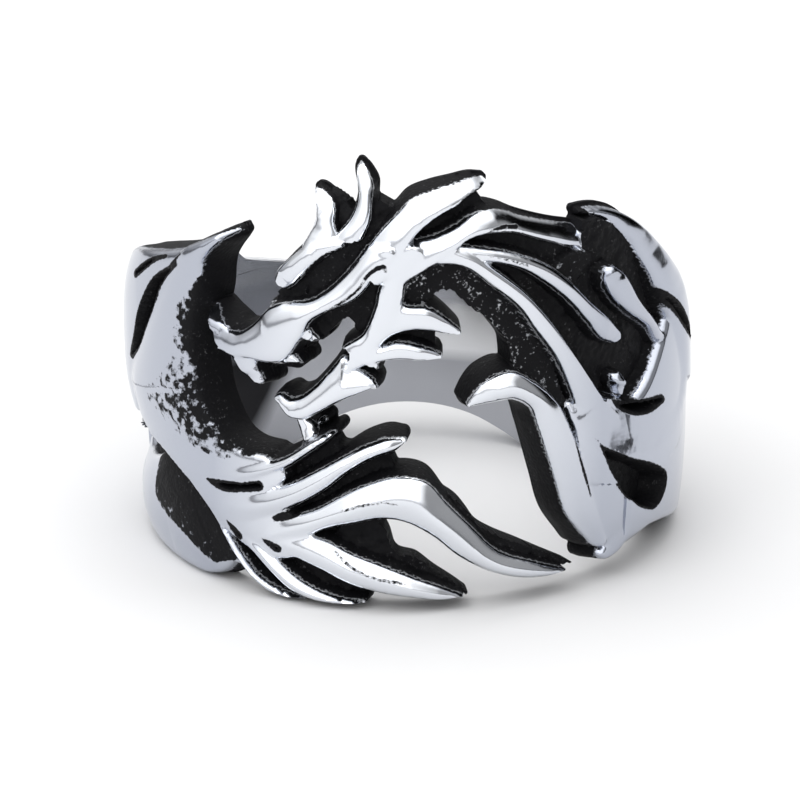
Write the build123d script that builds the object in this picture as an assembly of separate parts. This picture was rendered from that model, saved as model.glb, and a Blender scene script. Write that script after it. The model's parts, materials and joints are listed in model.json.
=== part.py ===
from build123d import *
import os
from math import ceil, cos, hypot, radians, sin
from typing import NamedTuple

# A one-piece cast steel finger ring with a dragon wrapped round its front, lying on its side.
# The finger goes through along Z, and the origin is on the finger's axis where the ring rests.
# Angles are in degrees round that axis: 0 faces the viewer (-Y), 90 is the viewer's right (+X).

# Driving sizes, in millimetres
BORE_RADIUS = 9.7  # inside of the ring, a US size 9 1/2
FACE_HEIGHT = 20.0  # what the heights in the tables are shares of; the tall horn ends at 0.96 of it
FACE_WALL = 1.8  # metal between the bore and the rim of a form that lies level with the face
CROWN_RISE = 0.5  # how far a polished form rises above its own rims
SIDE_DRAFT = 0.3  # how much wider a form is at the bore than at its rim
BAND_WALL = 1.8  # metal of the plain back band at its rims
BAND_CROWN = 0.3  # how far the back band is rounded outwards between its rims
BAND_HEIGHT = 7.4  # upper rim of the back band, behind the finger
BAND_ARCH = 1.9  # how far the lower rim is arched up behind the finger

# How finely the forms are faceted
ACROSS_STEP = 7.0  # degrees or millimetres from one facet to the next across a form
ALONG_STEP = 7.0  # degrees between two sections of a form
UNDERCUT = 0.6  # millimetres by which each form reaches into the bore before it is bored
CUTTER_REACH = 1.5  # millimetres by which a recess cutter stands out of the face


class Rung(NamedTuple):
    """One section across a form, from one rim to the other."""

    angle_a: float  # degrees, first rim
    height_a: float  # share of FACE_HEIGHT
    angle_b: float  # degrees, second rim
    height_b: float
    lift: float  # height of the rims above the bore, as a share of FACE_WALL
    crown: float  # height of the middle above the rims, as a share of CROWN_RISE


# Polished forms, each as rungs from its root to its tip
FORMS = {
    "wing": [
        (-41.5, 0.772, -41.0, 0.766, 0.3, 0.1), (-43.0, 0.765, -42.0, 0.754, 0.92, 0.3),
        (-47.0, 0.745, -44.5, 0.728, 1.0, 0.4), (-52.5, 0.716, -46.5, 0.699, 1.03, 0.5),
        (-58.0, 0.656, -47.5, 0.640, 1.05, 0.5), (-64.5, 0.574, -49.0, 0.585, 1.05, 0.6),
        (-72.0, 0.488, -50.0, 0.522, 1.05, 0.7), (-80.0, 0.410, -49.5, 0.467, 1.05, 0.8),
        (-84.0, 0.335, -48.0, 0.412, 1.04, 0.8), (-79.0, 0.290, -45.5, 0.372, 1.03, 0.7),
        (-71.0, 0.262, -42.0, 0.335, 1.0, 0.5), (-61.5, 0.246, -37.0, 0.316, 1.0, 0.3),
        (-53.5, 0.216, -31.0, 0.314, 1.0, 0.2),
    ],
    "wing root": [
        (-72.0, 0.261, -41.0, 0.283, 1.0, 0.2), (-61.5, 0.246, -37.0, 0.284, 1.0, 0.2),
        (-53.5, 0.216, -33.0, 0.267, 1.0, 0.2), (-47.5, 0.180, -30.5, 0.239, 1.0, 0.2),
        (-42.0, 0.137, -27.0, 0.212, 0.99, 0.2), (-36.0, 0.107, -22.5, 0.186, 0.97, 0.2),
    ],
    "flame one": [
        (-42.0, 0.281, -42.0, 0.234, 0.95, 0.3), (-36.5, 0.286, -36.5, 0.242, 1.0, 0.4),
        (-30.0, 0.303, -30.0, 0.273, 1.0, 0.5), (-25.5, 0.324, -25.0, 0.301, 1.0, 0.5),
        (-21.5, 0.353, -21.0, 0.332, 0.98, 0.5), (-18.0, 0.376, -17.0, 0.364, 0.94, 0.4),
        (-15.5, 0.388, -15.0, 0.382, 0.85, 0.2),
    ],
    "flame two": [
        (-40.5, 0.230, -41.5, 0.153, 0.95, 0.3), (-35.5, 0.227, -35.5, 0.163, 1.0, 0.3),
        (-30.0, 0.243, -29.5, 0.187, 1.02, 0.5), (-24.5, 0.267, -23.0, 0.222, 1.02, 0.6),
        (-19.0, 0.301, -17.0, 0.262, 1.02, 0.6), (-13.5, 0.336, -11.5, 0.308, 1.0, 0.6),
        (-8.0, 0.367, -6.5, 0.337, 0.95, 0.6), (-3.5, 0.378, -2.5, 0.350, 0.85, 0.5),
        (-1.0, 0.374, -0.5, 0.364, 0.72, 0.3),
    ],
    "flame three": [
        (-30.0, 0.168, -30.5, 0.117, 0.95, 0.3), (-25.0, 0.192, -22.5, 0.148, 1.0, 0.4),
        (-19.0, 0.219, -16.5, 0.178, 1.03, 0.6), (-13.5, 0.254, -11.5, 0.192, 1.05, 0.8),
        (-8.5, 0.281, -5.5, 0.207, 1.06, 0.9), (-2.5, 0.299, -0.5, 0.201, 1.06, 0.9),
        (3.5, 0.290, 5.0, 0.170, 1.05, 0.9), (8.0, 0.241, 10.5, 0.122, 1.02, 0.8),
        (13.0, 0.187, 17.5, 0.080, 0.98, 0.8), (19.0, 0.126, 25.0, 0.056, 0.95, 0.6),
        (27.5, 0.088, 31.5, 0.049, 0.92, 0.4), (34.0, 0.062, 35.5, 0.048, 0.85, 0.2),
    ],
    "flame four": [
        (-30.5, 0.154, -31.0, 0.114, 0.93, 0.2), (-22.5, 0.158, -24.5, 0.105, 0.98, 0.4),
        (-16.5, 0.149, -18.0, 0.084, 1.0, 0.6), (-12.0, 0.130, -12.5, 0.061, 1.02, 0.7),
        (-5.5, 0.107, -4.5, 0.042, 1.02, 0.7), (0.5, 0.083, 1.5, 0.033, 1.0, 0.6),
        (6.5, 0.058, 7.0, 0.025, 0.95, 0.4), (11.0, 0.036, 11.5, 0.025, 0.85, 0.2),
    ],
    "flame five": [
        (-35.0, 0.135, -38.5, 0.132, 0.9, 0.2), (-31.5, 0.117, -34.5, 0.102, 0.95, 0.4),
        (-27.5, 0.088, -30.0, 0.065, 0.96, 0.5), (-23.0, 0.058, -25.0, 0.030, 0.96, 0.5),
        (-18.0, 0.038, -19.0, 0.013, 0.95, 0.5), (-13.0, 0.026, -13.0, 0.012, 0.93, 0.4),
        (-9.0, 0.022, -9.0, 0.017, 0.9, 0.2),
    ],
    "flame six": [
        (-47.5, 0.182, -42.5, 0.151, 0.92, 0.2), (-43.0, 0.137, -40.0, 0.122, 0.92, 0.4),
        (-39.5, 0.088, -37.0, 0.084, 0.9, 0.4), (-35.5, 0.046, -33.5, 0.051, 0.88, 0.4),
        (-31.0, 0.016, -29.5, 0.031, 0.86, 0.4), (-26.0, 0.008, -25.5, 0.020, 0.84, 0.4),
        (-22.5, 0.009, -22.5, 0.015, 0.82, 0.2),
    ],
    "bridge": [
        (-27.5, 0.443, -25.5, 0.446, 0.5, 0.3), (-26.0, 0.401, -23.5, 0.409, 0.45, 0.4),
        (-25.0, 0.372, -20.5, 0.382, 0.45, 0.5), (-23.5, 0.348, -19.0, 0.362, 0.6, 0.3),
    ],
    "bridge knob": [
        (-20.0, 0.393, -19.0, 0.390, 0.6, 0.5), (-19.5, 0.403, -18.0, 0.396, 0.6, 0.5),
    ],
    "first horn": [
        (-22.5, 0.774, -15.0, 0.786, 0.92, 0.5), (-21.0, 0.800, -15.0, 0.810, 0.85, 0.5),
        (-20.0, 0.824, -15.5, 0.830, 0.76, 0.5), (-20.0, 0.846, -15.5, 0.850, 0.66, 0.5),
        (-20.5, 0.864, -16.5, 0.868, 0.55, 0.4), (-21.0, 0.878, -18.5, 0.879, 0.4, 0.2),
    ],
    "second horn": [
        (-16.0, 0.788, -9.5, 0.799, 0.92, 0.5), (-14.0, 0.817, -8.0, 0.831, 0.85, 0.5),
        (-12.0, 0.843, -7.5, 0.856, 0.76, 0.5), (-11.0, 0.871, -7.5, 0.883, 0.66, 0.5),
        (-11.0, 0.899, -7.5, 0.907, 0.54, 0.5), (-11.5, 0.928, -8.5, 0.930, 0.4, 0.3),
        (-12.0, 0.946, -9.5, 0.946, 0.3, 0.2), (-11.5, 0.957, -10.5, 0.957, 0.22, 0.1),
    ],
    "brow": [
        (-28.5, 0.694, -26.0, 0.678, 0.92, 0.2), (-27.5, 0.720, -23.5, 0.694, 0.98, 0.5),
        (-25.0, 0.746, -21.5, 0.717, 1.0, 0.6), (-22.5, 0.769, -19.0, 0.742, 0.98, 0.6),
        (-20.0, 0.791, -15.5, 0.768, 0.95, 0.5), (-17.0, 0.797, -13.5, 0.781, 0.92, 0.5),
    ],
    "snout": [
        (-44.5, 0.568, -41.5, 0.524, 1.0, 0.2), (-39.0, 0.570, -38.0, 0.521, 1.06, 0.4),
        (-36.0, 0.576, -32.5, 0.525, 1.1, 0.6), (-32.5, 0.602, -29.0, 0.525, 1.13, 0.7),
        (-30.0, 0.631, -25.5, 0.534, 1.15, 0.8), (-27.0, 0.651, -21.5, 0.587, 1.15, 0.8),
        (-23.5, 0.661, -19.0, 0.630, 1.15, 0.8), (-20.0, 0.671, -15.0, 0.657, 1.14, 0.7),
        (-16.5, 0.694, -11.0, 0.677, 1.13, 0.7), (-13.5, 0.724, -8.5, 0.702, 1.12, 0.7),
        (-11.0, 0.754, -6.0, 0.738, 1.1, 0.7), (-8.5, 0.789, -3.0, 0.759, 1.08, 0.7),
    ],
    "nose horn": [
        (-44.5, 0.553, -38.5, 0.554, 1.03, 0.3), (-45.0, 0.575, -40.5, 0.574, 1.0, 0.4),
        (-45.0, 0.594, -42.5, 0.593, 0.95, 0.3), (-44.5, 0.604, -43.5, 0.604, 0.88, 0.1),
    ],
    "fang": [
        (-39.5, 0.526, -30.5, 0.540, 1.06, 0.3), (-38.0, 0.510, -32.5, 0.513, 1.04, 0.4),
        (-36.5, 0.488, -32.0, 0.495, 1.0, 0.4), (-34.5, 0.473, -31.5, 0.482, 0.93, 0.2),
    ],
    "middle tooth": [
        (-30.5, 0.545, -30.5, 0.522, 1.1, 0.3), (-27.0, 0.568, -27.0, 0.522, 1.08, 0.5),
        (-24.5, 0.553, -24.5, 0.527, 1.04, 0.4), (-22.5, 0.537, -22.5, 0.527, 0.98, 0.2),
    ],
    "back tooth": [
        (-23.5, 0.617, -24.5, 0.581, 1.12, 0.3), (-20.5, 0.620, -21.0, 0.583, 1.08, 0.5),
        (-19.5, 0.602, -19.5, 0.578, 1.02, 0.3), (-18.5, 0.587, -19.0, 0.581, 0.95, 0.1),
    ],
    "throat": [
        (-13.5, 0.572, -6.0, 0.527, 1.02, 0.3), (-11.0, 0.590, -5.5, 0.579, 1.05, 0.4),
        (-9.0, 0.606, -3.0, 0.608, 1.06, 0.4), (-7.5, 0.639, -2.0, 0.640, 1.07, 0.5),
        (-6.5, 0.671, -1.0, 0.673, 1.08, 0.5), (-6.0, 0.699, -0.5, 0.711, 1.08, 0.5),
        (-5.0, 0.729, 1.0, 0.738, 1.08, 0.5), (-4.5, 0.759, 3.0, 0.768, 1.08, 0.5),
    ],
    "lower jaw": [
        (-29.0, 0.448, -28.5, 0.440, 0.9, 0.2), (-27.0, 0.456, -27.0, 0.429, 0.96, 0.3),
        (-25.0, 0.450, -25.0, 0.412, 1.0, 0.5), (-22.5, 0.457, -22.0, 0.408, 1.02, 0.6),
        (-19.5, 0.482, -18.5, 0.428, 1.03, 0.6), (-16.0, 0.521, -14.0, 0.456, 1.04, 0.6),
        (-13.0, 0.554, -10.5, 0.474, 1.04, 0.6), (-11.5, 0.533, -7.5, 0.488, 1.02, 0.3),
    ],
    "lower mane": [
        (-11.5, 0.571, -13.0, 0.514, 1.02, 0.3), (-6.5, 0.576, -7.0, 0.542, 1.02, 0.4),
        (-2.0, 0.590, -2.0, 0.551, 0.98, 0.5), (3.0, 0.576, 2.5, 0.546, 0.86, 0.5),
        (6.0, 0.559, 6.0, 0.542, 0.65, 0.3),
    ],
    "upper mane": [
        (-3.0, 0.682, -5.5, 0.590, 1.05, 0.3), (-0.5, 0.668, -1.0, 0.611, 1.04, 0.4),
        (4.0, 0.663, 4.0, 0.612, 0.98, 0.5), (7.5, 0.634, 7.5, 0.601, 0.82, 0.4),
        (10.0, 0.612, 10.0, 0.595, 0.6, 0.2),
    ],
    "neck": [
        (-11.0, 0.752, -6.0, 0.713, 1.1, 0.5), (-8.0, 0.791, -1.0, 0.747, 1.08, 0.5),
        (-5.0, 0.829, 0.5, 0.803, 1.04, 0.5), (-2.0, 0.860, 3.0, 0.832, 0.98, 0.5),
        (0.5, 0.883, 6.5, 0.856, 0.9, 0.5), (5.0, 0.898, 10.0, 0.871, 0.8, 0.5),
        (10.0, 0.907, 13.0, 0.888, 0.66, 0.4), (14.5, 0.913, 16.0, 0.896, 0.48, 0.3),
        (17.0, 0.910, 17.5, 0.904, 0.32, 0.1),
    ],
    "back ridge": [
        (-3.5, 0.757, -1.0, 0.715, 1.0, 0.3), (0.0, 0.798, 3.5, 0.745, 1.04, 0.4),
        (5.5, 0.814, 10.0, 0.789, 1.03, 0.5), (9.5, 0.831, 12.0, 0.803, 1.0, 0.5),
        (13.5, 0.852, 16.0, 0.812, 0.96, 0.5), (17.0, 0.854, 18.5, 0.810, 0.9, 0.5),
        (20.5, 0.846, 22.5, 0.802, 0.75, 0.5), (25.0, 0.827, 27.5, 0.781, 0.6, 0.5),
        (30.5, 0.808, 33.5, 0.757, 0.45, 0.5), (36.5, 0.790, 40.0, 0.731, 0.35, 0.5),
        (42.5, 0.774, 44.5, 0.726, 0.3, 0.4), (47.0, 0.755, 48.5, 0.734, 0.25, 0.2),
    ],
    "shoulder lock": [
        (4.5, 0.798, 6.5, 0.755, 0.98, 0.3), (11.0, 0.792, 13.0, 0.752, 1.0, 0.4),
        (16.5, 0.781, 17.5, 0.748, 1.0, 0.5), (22.0, 0.764, 23.0, 0.729, 0.98, 0.5),
        (29.0, 0.732, 28.5, 0.693, 0.96, 0.5), (35.5, 0.682, 34.5, 0.642, 0.94, 0.5),
        (41.0, 0.628, 40.0, 0.583, 0.92, 0.5), (47.0, 0.576, 44.5, 0.535, 0.9, 0.4),
        (50.5, 0.542, 48.0, 0.519, 0.86, 0.2),
    ],
    "body": [
        (-3.0, 0.736, -1.0, 0.713, 1.02, 0.3), (5.5, 0.800, 5.5, 0.751, 1.04, 0.4),
        (12.0, 0.777, 11.0, 0.746, 1.04, 0.5), (18.0, 0.734, 17.0, 0.699, 1.04, 0.5),
        (24.5, 0.677, 22.5, 0.650, 1.03, 0.5), (30.0, 0.613, 26.5, 0.592, 1.02, 0.5),
        (35.0, 0.543, 31.0, 0.529, 1.0, 0.5), (40.0, 0.474, 34.5, 0.462, 0.98, 0.4),
        (44.5, 0.413, 37.0, 0.400, 0.98, 0.3), (49.0, 0.366, 37.5, 0.351, 0.97, 0.2),
    ],
    "fin": [
        (12.0, 0.449, 12.5, 0.440, 0.9, 0.2), (13.5, 0.475, 15.5, 0.447, 1.0, 0.4),
        (16.0, 0.500, 19.0, 0.452, 1.06, 0.6), (21.0, 0.515, 21.5, 0.453, 1.08, 0.7),
        (26.0, 0.488, 25.0, 0.432, 1.1, 0.7), (31.0, 0.441, 27.0, 0.385, 1.1, 0.7),
        (35.5, 0.358, 29.5, 0.314, 1.1, 0.6), (39.5, 0.255, 31.5, 0.257, 1.08, 0.5),
        (42.5, 0.174, 34.5, 0.177, 1.04, 0.4), (45.5, 0.106, 40.5, 0.106, 1.0, 0.2),
    ],
    "right sheet": [
        (35.0, 0.395, 57.0, 0.355, 0.98, 0.5), (36.5, 0.340, 88.0, 0.280, 1.05, 0.8),
        (37.5, 0.265, 82.0, 0.165, 1.02, 0.8), (40.5, 0.180, 70.0, 0.105, 0.98, 0.6),
        (43.5, 0.120, 60.5, 0.076, 0.96, 0.4), (45.0, 0.082, 52.5, 0.064, 0.94, 0.2),
    ],
    "shoulder rim": [
        (42.5, 0.806, 43.0, 0.794, 0.3, 0.1), (46.5, 0.804, 46.5, 0.783, 0.3, 0.3),
        (50.0, 0.793, 49.5, 0.770, 0.35, 0.4), (54.0, 0.776, 52.5, 0.750, 0.4, 0.5),
        (57.5, 0.752, 55.0, 0.728, 0.5, 0.5), (60.5, 0.722, 58.0, 0.703, 0.6, 0.5),
        (63.0, 0.688, 60.5, 0.668, 0.7, 0.6), (65.5, 0.650, 63.0, 0.630, 0.85, 0.7),
        (69.0, 0.606, 65.0, 0.592, 0.95, 0.8), (76.0, 0.570, 68.0, 0.540, 1.0, 0.9),
        (82.0, 0.530, 71.0, 0.500, 1.05, 1.0), (88.0, 0.470, 74.0, 0.420, 1.05, 1.0),
        (93.0, 0.380, 74.0, 0.340, 1.05, 1.0), (93.0, 0.280, 62.0, 0.320, 1.03, 0.8),
    ],
    "inner lock": [
        (46.0, 0.685, 49.0, 0.685, 0.75, 0.4), (45.5, 0.657, 52.0, 0.664, 0.8, 0.6),
        (48.0, 0.613, 57.0, 0.599, 0.84, 0.7), (54.0, 0.562, 62.5, 0.542, 0.86, 0.6),
        (61.0, 0.517, 68.5, 0.492, 0.88, 0.4), (65.5, 0.474, 78.0, 0.430, 0.9, 0.2),
    ],
    "bead": [
        (49.0, 0.450, 51.5, 0.449, 0.6, 0.6), (48.5, 0.434, 53.0, 0.423, 0.6, 0.9),
        (50.0, 0.408, 52.0, 0.403, 0.6, 0.6),
    ],
    "crescent": [
        (62.0, 0.513, 81.0, 0.429, 0.86, 0.1), (66.5, 0.461, 87.0, 0.368, 0.85, 0.4),
        (64.5, 0.415, 87.0, 0.319, 0.85, 0.5), (60.0, 0.386, 77.0, 0.313, 0.85, 0.4),
        (56.5, 0.371, 64.0, 0.338, 0.85, 0.1),
    ],
    "low blob": [
        (33.0, 0.716, 34.0, 0.677, 0.6, 0.3), (36.5, 0.727, 38.5, 0.660, 0.64, 0.8),
        (40.0, 0.731, 40.0, 0.679, 0.66, 0.9), (43.5, 0.721, 43.5, 0.702, 0.66, 0.5),
    ],
    "left lobe": [
        (-110.0, 0.150, -110.0, 0.000, 0.72, 0.6), (-98.0, 0.150, -98.0, 0.005, 0.68, 0.8),
        (-87.5, 0.158, -87.5, 0.012, 0.66, 0.8), (-75.5, 0.190, -76.5, 0.004, 0.66, 0.9),
        (-65.0, 0.235, -65.0, 0.000, 0.66, 0.9), (-56.0, 0.230, -56.0, 0.000, 0.68, 0.9),
        (-49.5, 0.200, -49.0, 0.004, 0.7, 0.8), (-44.5, 0.155, -43.5, 0.024, 0.72, 0.6),
        (-40.5, 0.115, -40.5, 0.050, 0.74, 0.3),
    ],
    "left shoulder": [
        (-52.0, 0.716, -50.0, 0.660, 1.0, 0.3), (-61.0, 0.688, -58.0, 0.560, 1.0, 0.6),
        (-70.5, 0.662, -66.0, 0.470, 1.0, 0.9), (-80.0, 0.636, -74.0, 0.370, 1.0, 1.0),
        (-88.0, 0.610, -82.0, 0.270, 1.0, 1.0), (-97.0, 0.585, -95.0, 0.225, 1.0, 1.0),
        (-108.0, 0.555, -108.0, 0.200, 0.98, 0.8),
    ],
}

# Dark cast floors between the forms: low, flat and rough
FLOORS = {
    "between flames one and two": [
        (-43.5, 0.262, -43.0, 0.220, 0.55, 0.0), (-37.0, 0.268, -36.0, 0.222, 0.55, 0.0),
        (-31.0, 0.275, -30.5, 0.232, 0.55, 0.0), (-25.0, 0.305, -24.5, 0.262, 0.55, 0.0),
        (-18.5, 0.352, -18.0, 0.300, 0.55, 0.0), (-13.0, 0.398, -12.0, 0.340, 0.55, 0.0),
        (-6.5, 0.398, -5.0, 0.370, 0.55, 0.0),
    ],
    "between flames two and three": [
        (-29.5, 0.198, -29.0, 0.170, 0.55, 0.0), (-22.5, 0.238, -21.5, 0.200, 0.55, 0.0),
        (-15.5, 0.290, -14.5, 0.240, 0.55, 0.0), (-8.5, 0.345, -7.5, 0.270, 0.55, 0.0),
        (-1.0, 0.370, 0.5, 0.290, 0.55, 0.0), (6.0, 0.300, 7.5, 0.240, 0.55, 0.0),
    ],
    "between flames three and four": [
        (-19.0, 0.195, -21.0, 0.140, 0.6, 0.0), (-13.0, 0.212, -14.0, 0.120, 0.6, 0.0),
        (-7.5, 0.222, -8.5, 0.100, 0.6, 0.0), (-3.5, 0.215, -5.0, 0.100, 0.6, 0.0),
    ],
    "between flames four and five": [
        (-29.5, 0.140, -30.5, 0.120, 0.55, 0.0), (-24.0, 0.125, -25.5, 0.085, 0.55, 0.0),
        (-18.0, 0.103, -19.5, 0.050, 0.55, 0.0), (-12.0, 0.078, -12.5, 0.030, 0.55, 0.0),
        (-6.5, 0.055, -7.5, 0.034, 0.55, 0.0),
    ],
    "between flames five and six": [
        (-38.0, 0.163, -39.0, 0.155, 0.55, 0.0), (-32.0, 0.115, -34.5, 0.090, 0.55, 0.0),
        (-27.5, 0.068, -30.5, 0.050, 0.55, 0.0), (-22.0, 0.036, -25.0, 0.026, 0.55, 0.0),
        (-18.5, 0.028, -19.5, 0.022, 0.55, 0.0),
    ],
    "between the horns": [
        (-18.0, 0.780, -11.5, 0.780, 1.0, 0.0), (-17.0, 0.830, -9.5, 0.845, 0.98, 0.0),
        (-16.5, 0.895, -9.5, 0.880, 0.95, 0.0),
    ],
    "eye": [
        (-25.5, 0.700, -24.5, 0.640, 0.85, 0.0), (-21.5, 0.745, -19.5, 0.655, 0.85, 0.0),
        (-16.5, 0.785, -14.5, 0.680, 0.85, 0.0), (-11.0, 0.800, -9.5, 0.730, 0.85, 0.0),
        (-8.0, 0.865, -5.5, 0.790, 0.85, 0.0), (-6.0, 0.905, -2.0, 0.860, 0.85, 0.0),
    ],
    "corner of the mouth": [
        (-20.0, 0.630, -18.5, 0.595, 0.75, 0.0), (-15.0, 0.665, -13.0, 0.612, 0.75, 0.0),
        (-10.0, 0.700, -9.0, 0.630, 0.75, 0.0), (-7.0, 0.745, -4.5, 0.650, 0.75, 0.0),
    ],
    "between the manes": [
        (-6.5, 0.575, -6.0, 0.561, 0.8, 0.0), (-4.0, 0.602, -3.5, 0.563, 0.65, 0.0),
        (-1.0, 0.613, -1.0, 0.566, 0.6, 0.0), (3.5, 0.611, 3.5, 0.564, 0.55, 0.0),
        (6.5, 0.598, 6.0, 0.560, 0.5, 0.0),
    ],
    "under the body": [
        (-2.0, 0.721, -1.0, 0.658, 0.8, 0.0), (1.0, 0.737, 2.5, 0.662, 0.75, 0.0),
        (3.5, 0.748, 5.0, 0.673, 0.7, 0.0), (7.0, 0.760, 6.5, 0.686, 0.7, 0.0),
        (10.0, 0.758, 9.5, 0.684, 0.7, 0.0), (13.0, 0.743, 11.5, 0.666, 0.7, 0.0),
        (16.5, 0.720, 14.0, 0.643, 0.7, 0.0), (20.0, 0.691, 17.0, 0.623, 0.7, 0.0),
        (23.5, 0.657, 19.0, 0.600, 0.7, 0.0), (27.0, 0.609, 21.5, 0.569, 0.7, 0.0),
        (30.0, 0.559, 22.0, 0.544, 0.75, 0.0), (32.0, 0.509, 22.5, 0.515, 0.8, 0.0),
        (34.0, 0.450, 26.5, 0.472, 0.85, 0.0), (37.0, 0.393, 31.5, 0.424, 0.85, 0.0),
    ],
    "under the neck spike": [
        (0.0, 0.794, 1.0, 0.786, 0.9, 0.0), (2.5, 0.817, 4.5, 0.787, 0.6, 0.0),
        (6.5, 0.846, 9.0, 0.805, 0.55, 0.0), (10.5, 0.866, 12.5, 0.814, 0.5, 0.0),
        (13.5, 0.885, 16.5, 0.824, 0.48, 0.0), (15.5, 0.887, 19.5, 0.833, 0.46, 0.0),
    ],
    "along the shoulder": [
        (11.5, 0.790, 11.5, 0.782, 0.8, 0.0), (15.0, 0.798, 15.5, 0.768, 0.6, 0.0),
        (18.5, 0.807, 19.5, 0.755, 0.55, 0.0), (24.0, 0.796, 24.0, 0.740, 0.52, 0.0),
        (29.5, 0.784, 28.0, 0.726, 0.5, 0.0), (34.5, 0.763, 32.0, 0.707, 0.5, 0.0),
        (39.5, 0.740, 35.0, 0.680, 0.45, 0.0), (45.5, 0.744, 40.0, 0.639, 0.4, 0.0),
    ],
    "beside the body": [
        (17.5, 0.743, 17.5, 0.734, 0.8, 0.0), (21.5, 0.735, 20.0, 0.713, 0.6, 0.0),
        (25.0, 0.723, 23.0, 0.683, 0.55, 0.0), (30.5, 0.688, 27.5, 0.629, 0.5, 0.0),
        (36.0, 0.645, 32.0, 0.570, 0.5, 0.0), (42.0, 0.585, 36.0, 0.515, 0.48, 0.0),
        (48.0, 0.523, 41.0, 0.448, 0.45, 0.0), (54.0, 0.478, 46.5, 0.391, 0.42, 0.0),
    ],
    "shoulder hollow": [
        (42.0, 0.790, 40.0, 0.430, 0.5, 0.0), (48.0, 0.760, 47.0, 0.370, 0.5, 0.0),
        (55.0, 0.700, 55.0, 0.350, 0.5, 0.0), (63.0, 0.630, 63.0, 0.345, 0.55, 0.0),
        (70.0, 0.540, 72.0, 0.340, 0.6, 0.0),
    ],
    "left notch": [
        (-50.0, 0.250, -50.0, 0.190, 0.45, 0.0), (-60.0, 0.270, -60.0, 0.200, 0.45, 0.0),
        (-72.0, 0.270, -72.0, 0.170, 0.45, 0.0), (-85.0, 0.250, -85.0, 0.130, 0.45, 0.0),
        (-98.0, 0.250, -98.0, 0.120, 0.5, 0.0), (-110.0, 0.250, -110.0, 0.120, 0.5, 0.0),
    ],
}

# Recesses that are sunk into the polished metal, down to their lift
RECESSES = {
    "long left recess": [
        (-54.5, 0.683, -53.0, 0.681, 0.8, 0.0), (-58.5, 0.657, -57.0, 0.644, 0.6, 0.0),
        (-63.0, 0.625, -60.5, 0.602, 0.5, 0.0), (-67.0, 0.578, -63.0, 0.556, 0.5, 0.0),
        (-70.5, 0.528, -66.5, 0.507, 0.55, 0.0), (-74.5, 0.464, -71.0, 0.448, 0.65, 0.0),
        (-79.0, 0.407, -76.5, 0.404, 0.85, 0.0),
    ],
    "short left recess": [
        (-58.0, 0.689, -58.0, 0.680, 0.8, 0.0), (-64.5, 0.665, -62.0, 0.662, 0.6, 0.0),
        (-68.5, 0.641, -66.5, 0.631, 0.6, 0.0), (-73.0, 0.610, -71.0, 0.599, 0.75, 0.0),
    ],
    "right recess": [
        (40.5, 0.338, 41.5, 0.329, 0.9, 0.0), (43.0, 0.314, 43.0, 0.288, 0.7, 0.0),
        (46.5, 0.294, 44.5, 0.257, 0.6, 0.0), (51.0, 0.268, 48.5, 0.204, 0.55, 0.0),
        (57.5, 0.239, 54.5, 0.149, 0.5, 0.0), (65.5, 0.196, 60.0, 0.122, 0.5, 0.0),
    ],
    "under the crescent": [
        (46.5, 0.406, 47.5, 0.395, 0.75, 0.0), (49.5, 0.392, 49.5, 0.372, 0.6, 0.0),
        (54.5, 0.380, 54.5, 0.347, 0.55, 0.0), (59.5, 0.371, 60.0, 0.339, 0.58, 0.0),
        (63.5, 0.366, 65.0, 0.343, 0.75, 0.0),
    ],
    "inside the curl": [
        (41.5, 0.804, 42.5, 0.782, 0.75, 0.0), (44.0, 0.808, 45.0, 0.771, 0.72, 0.0),
        (46.5, 0.784, 47.5, 0.762, 0.75, 0.0),
    ],
    "rim recess": [
        (62.0, 0.580, 63.0, 0.566, 0.85, 0.0), (65.5, 0.563, 65.5, 0.514, 0.7, 0.0),
        (72.0, 0.506, 70.5, 0.460, 0.65, 0.0), (83.5, 0.425, 81.5, 0.394, 0.8, 0.0),
    ],
}


class BandRow(NamedTuple):
    """The two rims of the plain band at one angle."""

    angle: float  # degrees
    bottom: float  # share of BAND_ARCH
    top: float  # share of BAND_HEIGHT


# The band from the right shoulder, round the back of the finger, to the left shoulder
BAND = [
    (52.0, 0.75, 1.00), (60.0, 0.80, 1.10), (68.0, 0.70, 1.30), (76.0, 0.50, 1.50), (86.0, 0.25, 1.36),
    (97.0, 0.05, 1.28), (108.0, 0.00, 1.22), (120.0, 0.00, 1.17), (132.0, 0.00, 1.13),
    (144.0, 0.06, 1.08), (154.0, 0.45, 1.04), (162.0, 0.75, 1.02), (171.0, 0.94, 1.00),
    (180.0, 1.00, 1.00), (189.0, 0.94, 1.02), (198.0, 0.75, 1.06), (206.0, 0.45, 1.11),
    (216.0, 0.06, 1.17), (228.0, 0.00, 1.25), (240.0, 0.00, 1.35), (252.0, 0.00, 1.46),
    (259.0, 0.00, 1.48),
]


def place(angle, height, radius):
    """The point at an angle round the finger, a height and a distance from the finger's axis."""
    return Vector(radius * sin(radians(angle)), -radius * cos(radians(angle)), height)


def between(low, high, share):
    return low + (high - low) * share


def blend(first, second, share):
    """The rung part of the way from one rung to the next."""
    return Rung(*(between(low, high, share) for low, high in zip(first, second)))


def refined(rungs):
    """The rungs with more between them where two are far apart round the finger."""
    result = [rungs[0]]
    for first, second in zip(rungs, rungs[1:]):
        turn = max(abs(second.angle_a - first.angle_a), abs(second.angle_b - first.angle_b))
        steps = max(1, ceil(turn / ALONG_STEP))
        result += [blend(first, second, step / steps) for step in range(1, steps + 1)]
    return result


def columns_across(rungs):
    """How many facets lie across a form, enough for its widest rung and always an even number."""
    widest = 0.0
    for rung in rungs:
        rise = abs(rung.height_b - rung.height_a) * FACE_HEIGHT
        widest = max(widest, abs(rung.angle_b - rung.angle_a), rise)
    return 2 * max(1, ceil(widest / ACROSS_STEP / 2))


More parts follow.
